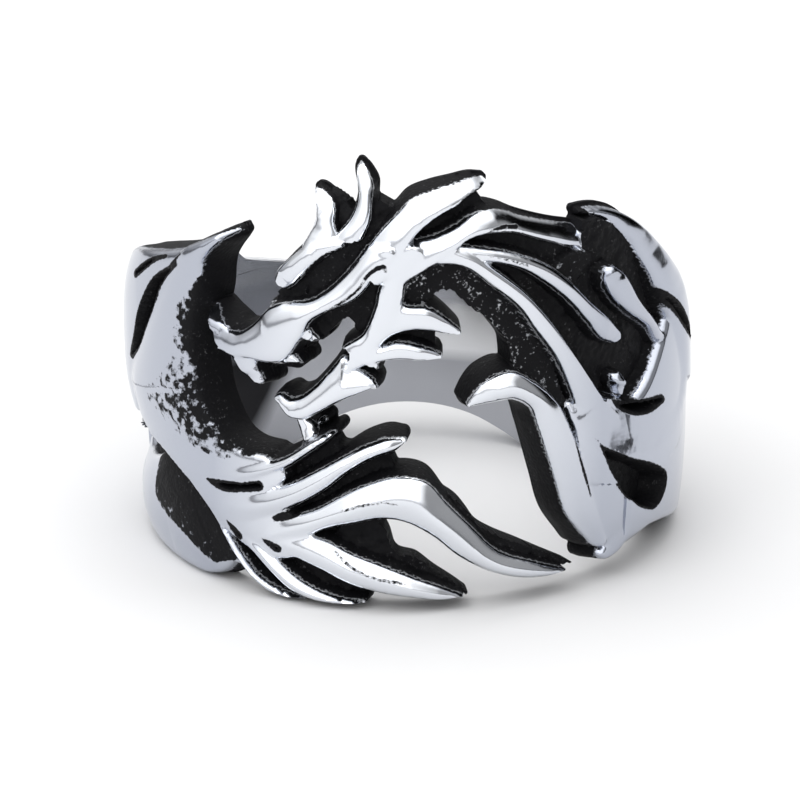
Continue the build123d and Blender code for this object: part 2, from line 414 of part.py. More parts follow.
def section(rung, columns, base_radius, draft):
    """The outer and the inner points of one section, from one rim to the other."""
    arc = radians(rung.angle_b - rung.angle_a) * (BORE_RADIUS + FACE_WALL)
    rise = (rung.height_b - rung.height_a) * FACE_HEIGHT
    spread = draft / hypot(arc, rise)
    rim = BORE_RADIUS + FACE_WALL * rung.lift
    outer = []
    inner = []
    for column in range(columns + 1):
        share = column / columns
        swell = rung.crown * CROWN_RISE * (1.0 - abs(2.0 * share - 1.0) ** 1.6)
        angle = between(rung.angle_a, rung.angle_b, share)
        height = between(rung.height_a, rung.height_b, share) * FACE_HEIGHT
        outer.append(place(angle, height, rim + swell))
        foot = between(-spread, 1.0 + spread, share)
        angle = between(rung.angle_a, rung.angle_b, foot)
        height = max(0.0, between(rung.height_a, rung.height_b, foot) * FACE_HEIGHT)
        inner.append(place(angle, height, base_radius))
    return outer, inner


def facet_pair(a, b, c, d):
    """Two triangles for the four corners of a patch."""
    return [Face(Wire.make_polygon([a, b, c])), Face(Wire.make_polygon([a, c, d]))]


def faceted(outer, inner):
    """The closed solid between two grids of points."""
    rows = len(outer)
    columns = len(outer[0])
    faces = []
    for i in range(rows - 1):
        for j in range(columns - 1):
            for grid in (outer, inner):
                faces += facet_pair(grid[i][j], grid[i + 1][j], grid[i + 1][j + 1], grid[i][j + 1])
        for j in (0, columns - 1):
            faces += facet_pair(outer[i][j], outer[i + 1][j], inner[i + 1][j], inner[i][j])
    for i in (0, rows - 1):
        for j in range(columns - 1):
            faces += facet_pair(outer[i][j], outer[i][j + 1], inner[i][j + 1], inner[i][j])
    return Solid(Shell(faces))


def form(rows):
    """A polished form or a dark floor, standing on the bore."""
    rungs = refined([Rung(*row) for row in rows])
    columns = columns_across(rungs)
    sections = [section(rung, columns, BORE_RADIUS - UNDERCUT, SIDE_DRAFT) for rung in rungs]
    return faceted([outer for outer, _ in sections], [inner for _, inner in sections])


def recess_cutter(rows):
    """The space above a recess, from its floor out through the face."""
    rungs = refined([Rung(*row) for row in rows])
    columns = columns_across(rungs)
    reach = BORE_RADIUS + FACE_WALL + CROWN_RISE + CUTTER_REACH
    sections = [section(rung, columns, reach, SIDE_DRAFT) for rung in rungs]
    return faceted([outer for outer, _ in sections], [inner for _, inner in sections])


def band():
    """The plain band that closes the ring behind the finger."""
    outer = []
    inner = []
    columns = 4
    for angle, bottom, top in (BandRow(*row) for row in BAND):
        low = bottom * BAND_ARCH
        high = top * BAND_HEIGHT
        rim = BORE_RADIUS + BAND_WALL
        shares = [column / columns for column in range(columns + 1)]
        swells = [BAND_CROWN * (1.0 - (2.0 * share - 1.0) ** 2) for share in shares]
        heights = [between(low, high, share) for share in shares]
        outer.append([place(angle, height, rim + swell) for height, swell in zip(heights, swells)])
        inner.append([place(angle, height, BORE_RADIUS - UNDERCUT) for height in heights])
    return faceted(outer, inner)


def dragon_ring():
    """The whole casting: forms, floors and band as one solid, with its recesses and its bore."""
    solids = [band()]
    solids += [form(rows) for rows in FLOORS.values()]
    solids += [form(rows) for rows in FORMS.values()]
    casting = solids[0].fuse(*solids[1:])
    casting = casting.cut(*[recess_cutter(rows) for rows in RECESSES.values()])
    bore = Cylinder(BORE_RADIUS, 3.0 * FACE_HEIGHT)
    return casting.cut(bore)


os.makedirs("parts", exist_ok=True)
export_step(dragon_ring(), "parts/dragon_ring.step")
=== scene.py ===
"""The dragon ring, dressed: one cast relief in blackened steel, a light tent and a camera."""

from __future__ import annotations

import json
import logging
import math
from dataclasses import dataclass, field, fields, replace
from enum import Enum
from typing import Any, NamedTuple

import bpy
import numpy as np
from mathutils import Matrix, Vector


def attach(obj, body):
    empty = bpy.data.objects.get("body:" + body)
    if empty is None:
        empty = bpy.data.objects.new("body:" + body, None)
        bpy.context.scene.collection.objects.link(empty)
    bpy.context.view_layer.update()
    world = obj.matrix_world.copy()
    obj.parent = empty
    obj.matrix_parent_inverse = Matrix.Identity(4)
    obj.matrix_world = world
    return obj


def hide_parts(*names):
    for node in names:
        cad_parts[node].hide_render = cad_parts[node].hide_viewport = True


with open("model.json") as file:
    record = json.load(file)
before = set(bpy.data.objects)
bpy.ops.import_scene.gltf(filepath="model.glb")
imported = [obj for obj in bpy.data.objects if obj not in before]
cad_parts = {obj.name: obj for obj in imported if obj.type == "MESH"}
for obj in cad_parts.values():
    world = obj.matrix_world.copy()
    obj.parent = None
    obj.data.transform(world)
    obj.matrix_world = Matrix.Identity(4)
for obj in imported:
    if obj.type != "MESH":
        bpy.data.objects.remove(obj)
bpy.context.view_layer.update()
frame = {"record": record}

LOG = logging.getLogger("dragon_ring")
MM = 0.001
Colour = tuple[float, float, float, float]


class Kind(Enum):
    """What a form does to the face of the ring."""

    POLISHED = "a bright form that stands up from the face"
    FLOOR = "a low, rough, blackened web between the forms"
    RECESS = "a hollow sunk into the bright metal"
    # also serves as painted shade: the dark reflection painted on the lobe
    STAIN = "a rough patch that goes from bright at its first rim to black at its second"

    def form(self, *rows: tuple[float, ...], **style: Any) -> Form:
        """A form of this kind.

        Args:
            rows: Rungs from root to tip, in the units of Rung.of.
            style: Other fields of the form.

        Returns:
            The form.
        """
        return Form(tuple(Rung.of(*row) for row in rows), self, **style)


class Rung(NamedTuple):
    """One section across a form, from one rim to the other."""

    angle_a: float  # degrees round the finger, first rim
    height_a: float  # share of the face height
    angle_b: float  # degrees round the finger, second rim
    height_b: float  # share of the face height
    lift: float  # rims above the bore, share of the face wall
    crown: float  # middle above the rims, share of the crown rise

    @classmethod
    def of(cls, angle_a: float, high_a: int, angle_b: float, high_b: int, lift: int = 100, crown: int = 0) -> Rung:
        """A rung from degrees, heights in thousandths, and lift and crown in hundredths."""
        return cls(angle_a, high_a / 1000, angle_b, high_b / 1000, lift / 100, crown / 100)


@dataclass(frozen=True)
class Form:
    """A lock, web or hollow, as rungs from its root to its tip.

    Attributes:
        rungs: Sections from root to tip.
        kind: What the form does to the face.
        power: Shape of the crown across: 2 is round, nearer 1 is ridged. A low one darkens a stain, and the painted
            shade on the lobe, at once.
        edge: Radius of the polished rim, in millimetres.
        closed: Whether the root end has a rim of its own.
        tilt: How much prouder the second rim is than the first, in millimetres.
        frost: How much of a dark form's grain is worn bright, from 0 to 1.
    """

    rungs: tuple[Rung, ...]
    kind: Kind
    power: float = 2.5
    edge: float = 0.1
    closed: bool = False
    tilt: float = 0.0
    frost: float = 0.0

    def turned(self, angle: float) -> Form:
        """The same form further round the finger, by an angle in degrees."""
        rungs = (row._replace(angle_a=row.angle_a + angle, angle_b=row.angle_b + angle) for row in self.rungs)
        return replace(self, rungs=tuple(rungs))


@dataclass(frozen=True)
class Sizes:
    """Driving sizes of the casting, in millimetres.

    Attributes:
        bore: Radius of the finger hole.
        face_height: What the heights in the tables are shares of; the tall horn ends at about 0.96 of it.
        face_wall: Metal between the bore and a rim that lies level with the face.
        crown_rise: How far a form rises above its own rims.
        draft: Width of the dark slope below a polished rim.
        foot: How far the outline lies outside the polished rim.
        fall: How deep the dark slope drops over its width.
        band_wall: Metal of the plain back band at its rims.
        band_crown: How far the band's middle rises above its rims.
        band_height: Upper rim of the band behind the finger.
        band_arch: How far the lower rim is arched up there.
        blend: Width over which crossing forms melt into each other.
        least_wall: Thinnest metal at a pierced edge.
    """

    bore: float
    face_height: float = 20.0
    face_wall: float = 1.8
    crown_rise: float = 0.5
    draft: float = 0.27
    foot: float = 0.17
    fall: float = 1.7
    band_wall: float = 1.8
    band_crown: float = 0.3
    band_height: float = 7.4
    band_arch: float = 1.9
    blend: float = 0.12
    least_wall: float = 0.2

    @property
    def face(self) -> float:
        """Radius at which the plan of the face is unrolled."""
        return self.bore + self.face_wall


@dataclass(frozen=True)
class Region:
    """A part of the face. Its fields are its forms, in the order in which they are laid."""

    def forms(self) -> list[Form]:
        """The forms in their order."""
        return [getattr(self, item.name) for item in fields(self)]


@dataclass(frozen=True)
class LeftWing(Region):
    """The C-shaped wing, its rough inner side, its shoulder and the lobe below it, with a painted dark reflection
    on the lobe.
    """

    notch: Form = Kind.FLOOR.form(
        (-50, 250, -50, 190, 45), (-60, 270, -60, 200, 45), (-72, 285, -72, 170, 45), (-80, 285, -80, 140, 45),
        (-86, 275, -86, 130, 45), (-98, 250, -98, 130, 50), (-106, 215, -106, 170, 60),
    )
    lobe: Form = Kind.POLISHED.form(
        (-122, 270, -122, 0, 100, 60), (-113, 260, -113, 0, 100, 60), (-108, 215, -108, 0, 92, 50),
        (-103, 170, -103, 0, 78, 60), (-98, 150, -98, 5, 68, 80), (-87.5, 158, -87.5, 12, 66, 80),
        (-75.5, 190, -76.5, 4, 66, 90), (-65, 235, -65, 0, 66, 90), (-56, 230, -56, 0, 68, 90),
        (-49.5, 200, -49, 4, 70, 80), (-44.5, 155, -43.5, 24, 72, 60), (-40.5, 115, -40.5, 50, 74, 30), edge=0.3,
    )
    shoulder: Form = Kind.POLISHED.form(
        (-52, 716, -50, 660, 100, 30), (-61, 688, -58, 560, 100, 60), (-70.5, 662, -66, 470, 100, 90),
        (-80, 636, -74, 370, 99, 100), (-88, 610, -82, 270, 99, 100), (-97, 585, -95, 225, 99, 100),
        (-108, 555, -108, 200, 98, 80), (-122, 520, -122, 190, 95, 70), edge=0.25,
    )
    wing: Form = Kind.POLISHED.form(
        (-41.5, 772, -41, 766, 30, 10), (-43, 765, -42, 754, 92, 30), (-47, 745, -44.5, 728, 100, 40),
        (-52.5, 716, -46.5, 699, 103, 50), (-58, 656, -47.5, 640, 105, 50), (-64.5, 574, -49, 585, 105, 60),
        (-72, 488, -50, 522, 105, 70), (-80, 410, -49.5, 467, 105, 80), (-84, 335, -48, 412, 104, 80),
        (-79, 290, -45.5, 372, 103, 70), (-71, 262, -42, 335, 100, 50), (-61.5, 246, -37, 316, 100, 30),
        (-53.5, 216, -31, 314, 100, 20),
    )
    wing_line: Form = Kind.RECESS.form(
        (-51.5, 719, -51, 719, 90), (-56, 677, -55, 677, 85), (-59, 631, -58.5, 631, 88),
        (-62, 577, -61.5, 577, 97),
    )
    long_recess: Form = Kind.RECESS.form(
        (-54.5, 683, -53, 681, 80), (-58.5, 657, -57, 644, 60), (-63, 625, -60.5, 602, 50),
        (-67, 578, -63, 556, 50), (-70.5, 528, -66.5, 507, 55), (-74.5, 464, -71, 448, 65),
        (-79, 407, -76.5, 404, 85),
    )
    short_recess: Form = Kind.RECESS.form(
        (-58, 689, -58, 680, 80), (-64.5, 665, -62, 662, 60), (-68.5, 641, -66.5, 631, 60),
        (-73, 610, -71, 599, 75),
    )
    stain_one: Form = Kind.STAIN.form(
        (-43, 741, -42.5, 731), (-45.5, 702, -44.5, 694), (-48, 662, -46.5, 658), (-51, 624, -47, 632),
        (-54, 582, -48, 593), (-54.5, 536, -48.5, 546), (-54, 501, -49, 504), (-51, 483, -49, 473), power=0.7,
    )
    speckle: Form = Kind.STAIN.form(
        (-55, 480, -45, 500), (-58, 440, -45, 466), (-66.5, 375, -44.5, 430), power=0.6, frost=0.45,
    )
    stain_two: Form = Kind.STAIN.form(
        (-69, 355, -46, 430), (-63, 331, -44, 400), (-56.5, 315, -42, 370), (-50.5, 297, -39, 345),
        (-46, 287, -37, 330), (-39.5, 290, -34.5, 314), (-34.5, 306, -32.5, 314), power=0.4, frost=0.35,
    )
    # painted dark reflection: the lobe's polished metal turns black, as if it reflected the dark wing beside it
    lobe_dark: Form = Kind.STAIN.form(
        (-71.5, 222, -66.5, 243), (-70, 174, -57.5, 239), (-69, 121, -50.5, 196), (-63.5, 100, -45.5, 155),
        (-55.5, 81, -41.5, 121), (-49, 54, -39, 91), (-45.5, 41, -38.5, 65), power=0.2,
    )


@dataclass(frozen=True)
class Flames(Region):
    """The wing's root, the six flames that run from it and the webs between them."""

    web_one_two: Form = Kind.FLOOR.form(
        (-42.5, 237, -42.5, 206, 55), (-37.5, 245, -37.5, 216, 55), (-32, 264, -32, 232, 55),
        (-26.5, 300, -26.5, 257, 50), (-21.5, 335, -20.5, 287, 50), (-19.5, 371, -15.5, 319, 50),
        (-16.5, 365, -13, 330, 50), (-15, 347, -11, 342, 50),
    )
    web_two_three: Form = Kind.FLOOR.form(
        (-28, 191, -27, 172, 60), (-23.5, 213, -23, 188, 55), (-18.5, 248, -18, 209, 55),
        (-13.5, 286, -13.5, 236, 55), (-9.5, 319, -9, 258, 55), (-6, 339, -5.5, 273, 50),
        (-3.5, 342, -3, 286, 50), (-3, 321, -2, 302, 50),
    )
    web_three_four: Form = Kind.FLOOR.form(
        (-16.5, 152, -16, 135, 60), (-14.5, 176, -13.5, 109, 60), (-10.5, 192, -10, 96, 60),
        (-6.5, 190, -6, 87, 60), (-4.5, 162, -3.5, 79, 55), (-3, 123, -0.5, 71, 50), (2, 106, 4.5, 57, 50),
        (6, 78, 8, 38, 50), (10.5, 50, 11, 27, 50), (14, 26, 13, 19, 50),
    )
    three_back: Form = Kind.FLOOR.form(
        (8, 251, 6, 248, 60), (11, 232, 8, 229, 60), (13.5, 206, 11, 188, 60), (16, 174, 14.5, 145, 60),
        (20, 149, 19.5, 105, 60), (26.5, 119, 24.5, 76, 60), (33.5, 85, 30, 60, 55), (41, 49, 35, 50, 50),
    )
    web_four_five: Form = Kind.FLOOR.form(
        (-30, 125, -32, 113, 60), (-26.5, 114, -28.5, 93, 55), (-21.5, 100, -25, 73, 55),
        (-16.5, 80, -21.5, 54, 55), (-13.5, 63, -18.5, 31, 55), (-10, 52, -15, 20, 55), (-8.5, 29, -11.5, 10, 50),
    )
    web_five_six: Form = Kind.FLOOR.form(
        (-40.5, 136, -41.5, 125, 60), (-37.5, 123, -39.5, 107, 55), (-34.5, 99, -36.5, 79, 55),
        (-31, 76, -33.5, 50, 55), (-26.5, 51, -29.5, 31, 55), (-22.5, 30, -26, 16, 50), (-21.5, 14, -23.5, 4, 50),
    )
    groove_one_two: Form = Kind.RECESS.form(
        (-46, 235, -45.5, 231, 90), (-43.5, 239, -43.5, 222, 75), (-40.5, 243, -40.5, 218, 60),
        (-36, 249, -36, 227, 55), (-32, 261, -31.5, 238, 55),
    )
    groove_two_three: Form = Kind.RECESS.form(
        (-29, 184, -28.5, 178, 90), (-27.5, 196, -26.5, 181, 70), (-24, 205, -23, 196, 60),
    )
    groove_four_five: Form = Kind.RECESS.form(
        (-31.5, 135, -31, 129, 90), (-29.5, 134, -30, 121, 70), (-27, 127, -28.5, 111, 60),
    )
    groove_five_six: Form = Kind.RECESS.form(
        (-40.5, 156, -40.5, 153, 90), (-38.5, 148, -39.5, 139, 70), (-36.5, 135, -38, 121, 60),
    )
    three_line: Form = Kind.RECESS.form(
        (-13, 229, -13, 225, 95), (-9, 245, -9, 240, 95), (-5.5, 252, -5.5, 248, 98), (-2, 250, -2, 247, 100),
    )
    four_line: Form = Kind.RECESS.form(
        (-15, 136, -15, 132, 90), (-12.5, 115, -12.5, 110, 90), (-7.5, 88, -7.5, 84, 90),
        (-3.5, 79, -3.5, 74, 92), (-0.5, 72, -0.5, 69, 95),
    )
    root: Form = Kind.POLISHED.form(
        (-86, 235, -46, 300, 96, 20), (-72, 258, -41, 283, 100, 20), (-61.5, 246, -37, 284, 100, 20),
        (-53.5, 218, -33, 267, 100, 20), (-48, 183, -30.5, 239, 100, 20), (-42, 137, -27, 212, 99, 20),
        (-36, 107, -22.5, 186, 97, 20),
    )
    bridge: Form = Kind.POLISHED.form(
        (-27.5, 443, -25.5, 446, 50, 30), (-26, 401, -23.5, 409, 45, 40), (-25, 372, -20.5, 382, 45, 50),
        (-23.5, 348, -19, 362, 60, 30),
    )
    bridge_knob: Form = Kind.POLISHED.form(
        (-20, 393, -19, 390, 60, 50), (-19.5, 403, -18, 396, 60, 50),
    )
    flame_six: Form = Kind.POLISHED.form(
        (-47.5, 182, -42.5, 151, 92, 20), (-43, 137, -40, 122, 92, 40), (-39.5, 88, -37, 84, 90, 40),
        (-35.5, 46, -33.5, 51, 88, 40), (-31, 16, -29.5, 31, 86, 40), (-26, 8, -25.5, 20, 84, 40),
        (-22.5, 9, -22.5, 15, 82, 20), power=1.6,
    )
    flame_five: Form = Kind.POLISHED.form(
        (-35, 135, -38.5, 132, 90, 20), (-31.5, 117, -34.5, 102, 95, 40), (-27.5, 88, -30, 65, 96, 50),
        (-23, 58, -25, 30, 96, 50), (-18, 38, -19, 13, 95, 50), (-13, 26, -13, 12, 93, 40),
        (-9, 22, -9, 17, 90, 20), power=1.6,
    )
    flame_four: Form = Kind.POLISHED.form(
        (-30.5, 154, -31, 114, 93, 20), (-22.5, 158, -24.5, 105, 98, 40), (-16.5, 149, -18, 84, 100, 60),
        (-12, 130, -12.5, 61, 102, 70), (-5.5, 107, -4.5, 42, 102, 70), (0.5, 83, 1.5, 33, 100, 60),
        (6.5, 58, 7, 25, 95, 40), (11, 36, 11.5, 25, 85, 20), power=1.6,
    )
    flame_three: Form = Kind.POLISHED.form(
        (-30, 168, -30.5, 117, 95, 30), (-25, 192, -22.5, 148, 100, 40), (-19, 219, -16.5, 178, 103, 60),
        (-13.5, 254, -11.5, 192, 105, 80), (-8.5, 281, -5.5, 207, 106, 82), (-2.5, 299, -0.5, 201, 106, 82),
        (3.5, 290, 5, 170, 105, 90), (8, 241, 10.5, 122, 102, 80), (13, 187, 17.5, 80, 98, 80),
        (19, 126, 25, 56, 95, 60), (27.5, 88, 31.5, 49, 92, 40), (34, 62, 35.5, 48, 85, 20), power=1.6,
    )
    flame_two: Form = Kind.POLISHED.form(
        (-40.5, 230, -41.5, 153, 95, 30), (-35.5, 227, -35.5, 163, 100, 30), (-30, 243, -29.5, 187, 102, 50),
        (-24.5, 267, -23, 222, 102, 60), (-19, 301, -17, 262, 102, 60), (-13.5, 336, -11.5, 308, 100, 60),
        (-8, 367, -6.5, 337, 95, 60), (-3.5, 378, -2.5, 350, 85, 50), (-1, 374, -0.5, 364, 72, 30), power=1.6,
    )
    flame_one: Form = Kind.POLISHED.form(
        (-42, 281, -42, 234, 95, 30), (-36.5, 286, -36.5, 242, 100, 40), (-30, 303, -30, 273, 100, 50),
        (-25.5, 324, -25, 301, 100, 50), (-21.5, 353, -21, 332, 98, 50), (-18, 376, -17, 364, 94, 40),
        (-15.5, 388, -15, 382, 85, 20), power=1.6,
    )


@dataclass(frozen=True)
class Head(Region):
    """The dragon's head: horns, brow, eye, snout, teeth and lower jaw."""

    horn_web: Form = Kind.FLOOR.form(
        (-17.5, 885, -13, 861, 35), (-16.5, 841, -12, 834, 50), (-15.5, 785, -13.5, 781, 60),
    )
    eye: Form = Kind.FLOOR.form(
        (-29, 663, -29, 638, 70), (-25.5, 694, -25, 645, 75), (-22, 725, -21, 658, 80), (-18, 759, -17, 684, 80),
        (-14, 779, -13, 717, 80), (-11, 810, -9, 756, 75), (-9, 850, -4.5, 801, 65), (-7.5, 882, -2.5, 858, 55),
    )
    mouth: Form = Kind.FLOOR.form(
        (-21.5, 619, -21.5, 600, 80), (-19.5, 633, -19.5, 571, 75), (-18, 637, -17.5, 578, 70),
        (-16, 648, -15.5, 605, 70), (-13.5, 663, -12.5, 625, 70), (-11, 681, -10.5, 600, 70),
        (-9, 705, -9, 611, 75), (-7.5, 733, -6.5, 669, 80), (-6, 743, -5, 705, 85),
    )
    tooth_web: Form = Kind.FLOOR.form(
        (-28.5, 568, -28.5, 512, 85), (-25.5, 571, -25.5, 511, 80), (-23, 567, -23, 512, 70),
        (-22, 554, -22, 524, 65),
    )
    fang_web: Form = Kind.FLOOR.form(
        (-33.5, 518, -33.5, 499, 85), (-32.5, 514, -33, 466, 70), (-30.5, 509, -31.5, 460, 55),
    )
    jaw_web: Form = Kind.FLOOR.form(
        (-15, 505, -14, 486, 70), (-11.5, 528, -11.5, 490, 60), (-8.5, 533, -8.5, 477, 55),
        (-6.5, 517, -7, 476, 50),
    )
    lip: Form = Kind.RECESS.form(
        (-16.5, 649, -16.5, 645, 90), (-14.5, 668, -14.5, 662, 85), (-11.5, 692, -11.5, 685, 85),
        (-9.5, 711, -9.5, 704, 80), (-8, 739, -7.5, 734, 80), (-6, 757, -5.5, 749, 75),
        (-4.5, 761, -4.5, 750, 75), (-4, 752, -4.5, 743, 85),
    )
    lid: Form = Kind.RECESS.form(
        (-22, 716, -22, 713, 90), (-19, 751, -18.5, 746, 85), (-15.5, 777, -15.5, 770, 85),
        (-13.5, 780, -13.5, 775, 85),
    )
    first_horn: Form = Kind.POLISHED.form(
        (-22.5, 774, -15, 786, 92, 50), (-21, 800, -15, 810, 85, 50), (-20, 824, -15.5, 830, 76, 50),
        (-20, 846, -15.5, 850, 66, 50), (-20.5, 864, -16.5, 868, 55, 40), (-21, 878, -18.5, 879, 40, 20),
    )
    second_horn: Form = Kind.POLISHED.form(
        (-16, 788, -9.5, 799, 92, 50), (-14, 817, -8, 831, 85, 50), (-12, 843, -7.5, 856, 76, 50),
        (-11, 871, -7.5, 883, 66, 50), (-11, 899, -7.5, 907, 54, 50), (-11.5, 922, -8.5, 924, 40, 30),
        (-11.5, 936, -9.5, 936, 30, 20), (-11.2, 942, -10.3, 942, 22, 10),
    )
    brow: Form = Kind.POLISHED.form(
        (-28.5, 694, -26, 678, 92, 20), (-27.5, 720, -23.5, 694, 98, 50), (-25, 746, -21.5, 717, 100, 60),
        (-22.5, 769, -19, 742, 98, 60), (-20, 791, -15.5, 768, 95, 50), (-17, 797, -13.5, 781, 92, 50),
    )
    fang: Form = Kind.POLISHED.form(
        (-39.5, 526, -30.5, 540, 106, 30), (-38, 510, -32.5, 513, 104, 40), (-36.5, 488, -32, 495, 100, 40),
        (-34.5, 473, -31.5, 482, 93, 20),
    )
    middle_tooth: Form = Kind.POLISHED.form(
        (-30.5, 545, -30.5, 522, 110, 30), (-27, 568, -27, 522, 108, 50), (-24.5, 553, -24.5, 527, 104, 40),
        (-22.5, 537, -22.5, 527, 98, 20),
    )
    back_tooth: Form = Kind.POLISHED.form(
        (-23.5, 617, -24.5, 581, 112, 30), (-20.5, 620, -21, 583, 108, 50), (-19.5, 602, -19.5, 578, 102, 30),
        (-18.5, 587, -19, 581, 95, 10),
    )
    nose_horn: Form = Kind.POLISHED.form(
        (-45, 560, -39, 566, 100, 30), (-46.5, 579, -42, 580, 90, 40), (-47.5, 590, -44.5, 590, 72, 30),
        (-47.5, 598, -46.5, 599, 55, 10),
    )
    eye_glint: Form = Kind.POLISHED.form(
        (-21.7, 689, -21.1, 689, 82, 30), (-21.7, 676, -21.1, 676, 82, 30), closed=True, edge=0.08,
    )
    bead_row: Form = Kind.POLISHED.form(
        (-30, 639, -30, 645, 80, 30), (-26.5, 644, -26.5, 650, 80, 30), closed=True, edge=0.08,
    )
    snout: Form = Kind.POLISHED.form(
        (-44.5, 568, -41.5, 524, 100, 20), (-39, 570, -38, 521, 106, 40), (-36, 576, -32.5, 525, 110, 60),
        (-32.5, 602, -29, 525, 113, 70), (-30, 631, -25.5, 534, 115, 80), (-27, 651, -21.5, 587, 115, 80),
        (-23.5, 661, -19, 630, 115, 80), (-20, 671, -15, 657, 114, 70), (-16.5, 694, -11, 677, 113, 70),
        (-13.5, 724, -8.5, 702, 112, 70), (-11, 754, -6, 738, 110, 70), (-8.5, 789, -3, 759, 108, 70), tilt=0.3,
    )
    lower_jaw: Form = Kind.POLISHED.form(
        (-29, 448, -28.5, 440, 90, 20), (-27, 456, -27, 429, 96, 30), (-25, 450, -25, 412, 100, 50),
        (-22.5, 457, -22, 408, 102, 60), (-19.5, 482, -18.5, 428, 103, 60), (-16, 521, -14, 456, 104, 60),
        (-13, 554, -10.5, 474, 104, 60), (-11.5, 533, -7.5, 488, 102, 30), closed=True, tilt=0.2,
    )


@dataclass(frozen=True)
class Neck(Region):
    """The throat, the two mane locks, the neck's spike, the back ridge and the body."""

    mane_web: Form = Kind.FLOOR.form(
        (-6.5, 575, -6, 561, 80), (-4, 602, -3.5, 563, 65), (-1, 613, -1, 566, 60), (3.5, 611, 3.5, 564, 55),
        (6.5, 598, 6, 560, 50),
    )
    spike_web: Form = Kind.FLOOR.form(
        (0, 794, 1, 786, 90), (2.5, 817, 4.5, 787, 60), (6.5, 846, 9, 805, 55), (10.5, 866, 12.5, 814, 50),
        (13.5, 885, 16.5, 824, 48), (15.5, 887, 19.5, 833, 46),
    )
    ridge_web: Form = Kind.FLOOR.form(
        (11.5, 790, 11.5, 782, 80), (15, 798, 15.5, 768, 60), (18.5, 807, 19.5, 755, 55), (24, 796, 24, 740, 52),
        (29.5, 784, 28, 726, 50), (34.5, 763, 32, 707, 50), (39.5, 740, 35, 680, 45), (45.5, 744, 40, 639, 40),
    )
    lock_web: Form = Kind.FLOOR.form(
        (17.5, 743, 17.5, 734, 80), (21.5, 735, 20, 713, 60), (25, 723, 23, 683, 55), (30.5, 688, 27.5, 629, 50),
        (36, 645, 32, 570, 50), (42, 585, 36, 515, 48), (48, 523, 41, 448, 45), (54, 478, 46.5, 391, 42),
    )
    body_web: Form = Kind.FLOOR.form(
        (-2, 721, -1, 658, 80), (1, 737, 2.5, 662, 75), (3.5, 748, 5, 673, 70), (7, 760, 6.5, 686, 70),
        (10, 758, 9.5, 684, 70), (13, 743, 11.5, 666, 70), (16.5, 720, 14, 643, 70), (20, 691, 17, 623, 70),
        (23.5, 657, 19, 600, 70), (27, 609, 21.5, 569, 70), (30, 559, 22, 544, 75), (32, 509, 22.5, 515, 80),
        (34, 450, 26.5, 472, 85), (37, 393, 31.5, 424, 85), frost=0.97,
    )
    ridge_shade: Form = Kind.RECESS.form(
        (16, 824, 16.5, 819, 85), (19.5, 826, 19.5, 818, 80), (23, 819, 23, 811, 85),
    )
    lock_line: Form = Kind.RECESS.form(
        (15.5, 770, 16, 768, 95), (20, 757, 20, 754, 90), (24.5, 739, 24.5, 735, 90),
    )
    throat: Form = Kind.POLISHED.form(
        (-13.5, 572, -6, 527, 102, 30), (-11, 590, -5.5, 579, 105, 40), (-9, 606, -3, 608, 106, 40),
        (-7.5, 639, -2, 640, 107, 50), (-6.5, 671, -1, 673, 108, 50), (-6, 699, -0.5, 711, 108, 50),
        (-5, 729, 1, 738, 108, 50), (-4.5, 759, 3, 768, 108, 50),
    )
    shoulder_lock: Form = Kind.POLISHED.form(
        (4.5, 798, 6.5, 755, 98, 30), (11, 792, 13, 752, 100, 40), (16.5, 781, 17.5, 748, 100, 50),
        (22, 764, 23, 729, 98, 50), (29, 732, 28.5, 693, 96, 50), (35.5, 682, 34.5, 642, 94, 50),
        (41, 628, 40, 583, 92, 50), (47, 576, 44.5, 535, 90, 40), (50.5, 542, 48, 519, 86, 20),
    )
    lower_mane: Form = Kind.POLISHED.form(
        (-11.5, 571, -13, 514, 102, 30), (-6.5, 576, -7, 542, 102, 40), (-2, 590, -2, 551, 100, 50),
        (3, 578, 2.5, 546, 94, 50), (6.6, 561, 6.4, 545, 82, 30), power=4.0,
    )
    upper_mane: Form = Kind.POLISHED.form(
        (-3, 682, -5.5, 590, 105, 30), (-0.5, 668, -1, 611, 104, 40), (4, 663, 4, 612, 100, 50),
        (8, 636, 7.8, 601, 92, 40), (10.6, 612, 10.4, 594, 80, 30), power=4.0,
    )
    body: Form = Kind.POLISHED.form(
        (-3, 736, -1, 713, 102, 30), (5.5, 800, 5.5, 751, 104, 40), (12, 777, 11, 746, 104, 50),
        (18, 734, 17, 699, 104, 50), (24.5, 677, 22.5, 650, 103, 50), (30, 613, 26.5, 592, 102, 50),
        (35, 543, 31, 529, 100, 50), (40, 474, 34.5, 462, 98, 40), (44.5, 413, 37, 400, 98, 30),
        (49, 366, 37.5, 351, 97, 20), power=4.0,
    )
    back_ridge: Form = Kind.POLISHED.form(
        (-3.5, 757, -1, 715, 100, 30), (0, 798, 3.5, 745, 104, 40), (5.5, 814, 10, 789, 103, 50),
        (9.5, 831, 12, 803, 100, 50), (13.5, 852, 16, 812, 96, 50), (17, 854, 18.5, 810, 90, 50),
        (20.5, 846, 22.5, 802, 75, 50), (25, 827, 27.5, 781, 60, 50), (30.5, 808, 33.5, 757, 45, 50),
        (36.5, 790, 40, 731, 35, 50), (42.5, 774, 44.5, 726, 30, 40), (47, 755, 48.5, 734, 25, 20), tilt=0.4,
    )
    neck: Form = Kind.POLISHED.form(
        (-11, 752, -6, 713, 110, 50), (-8, 791, -1, 747, 108, 50), (-5, 829, 0.5, 803, 104, 50),
        (-2, 860, 3, 832, 98, 50), (0.5, 883, 6.5, 856, 90, 50), (5, 898, 10, 871, 80, 50),
        (10, 907, 13, 888, 66, 40), (14.5, 913, 16, 896, 48, 30), (17, 910, 17.5, 904, 32, 10), tilt=0.4,
    )


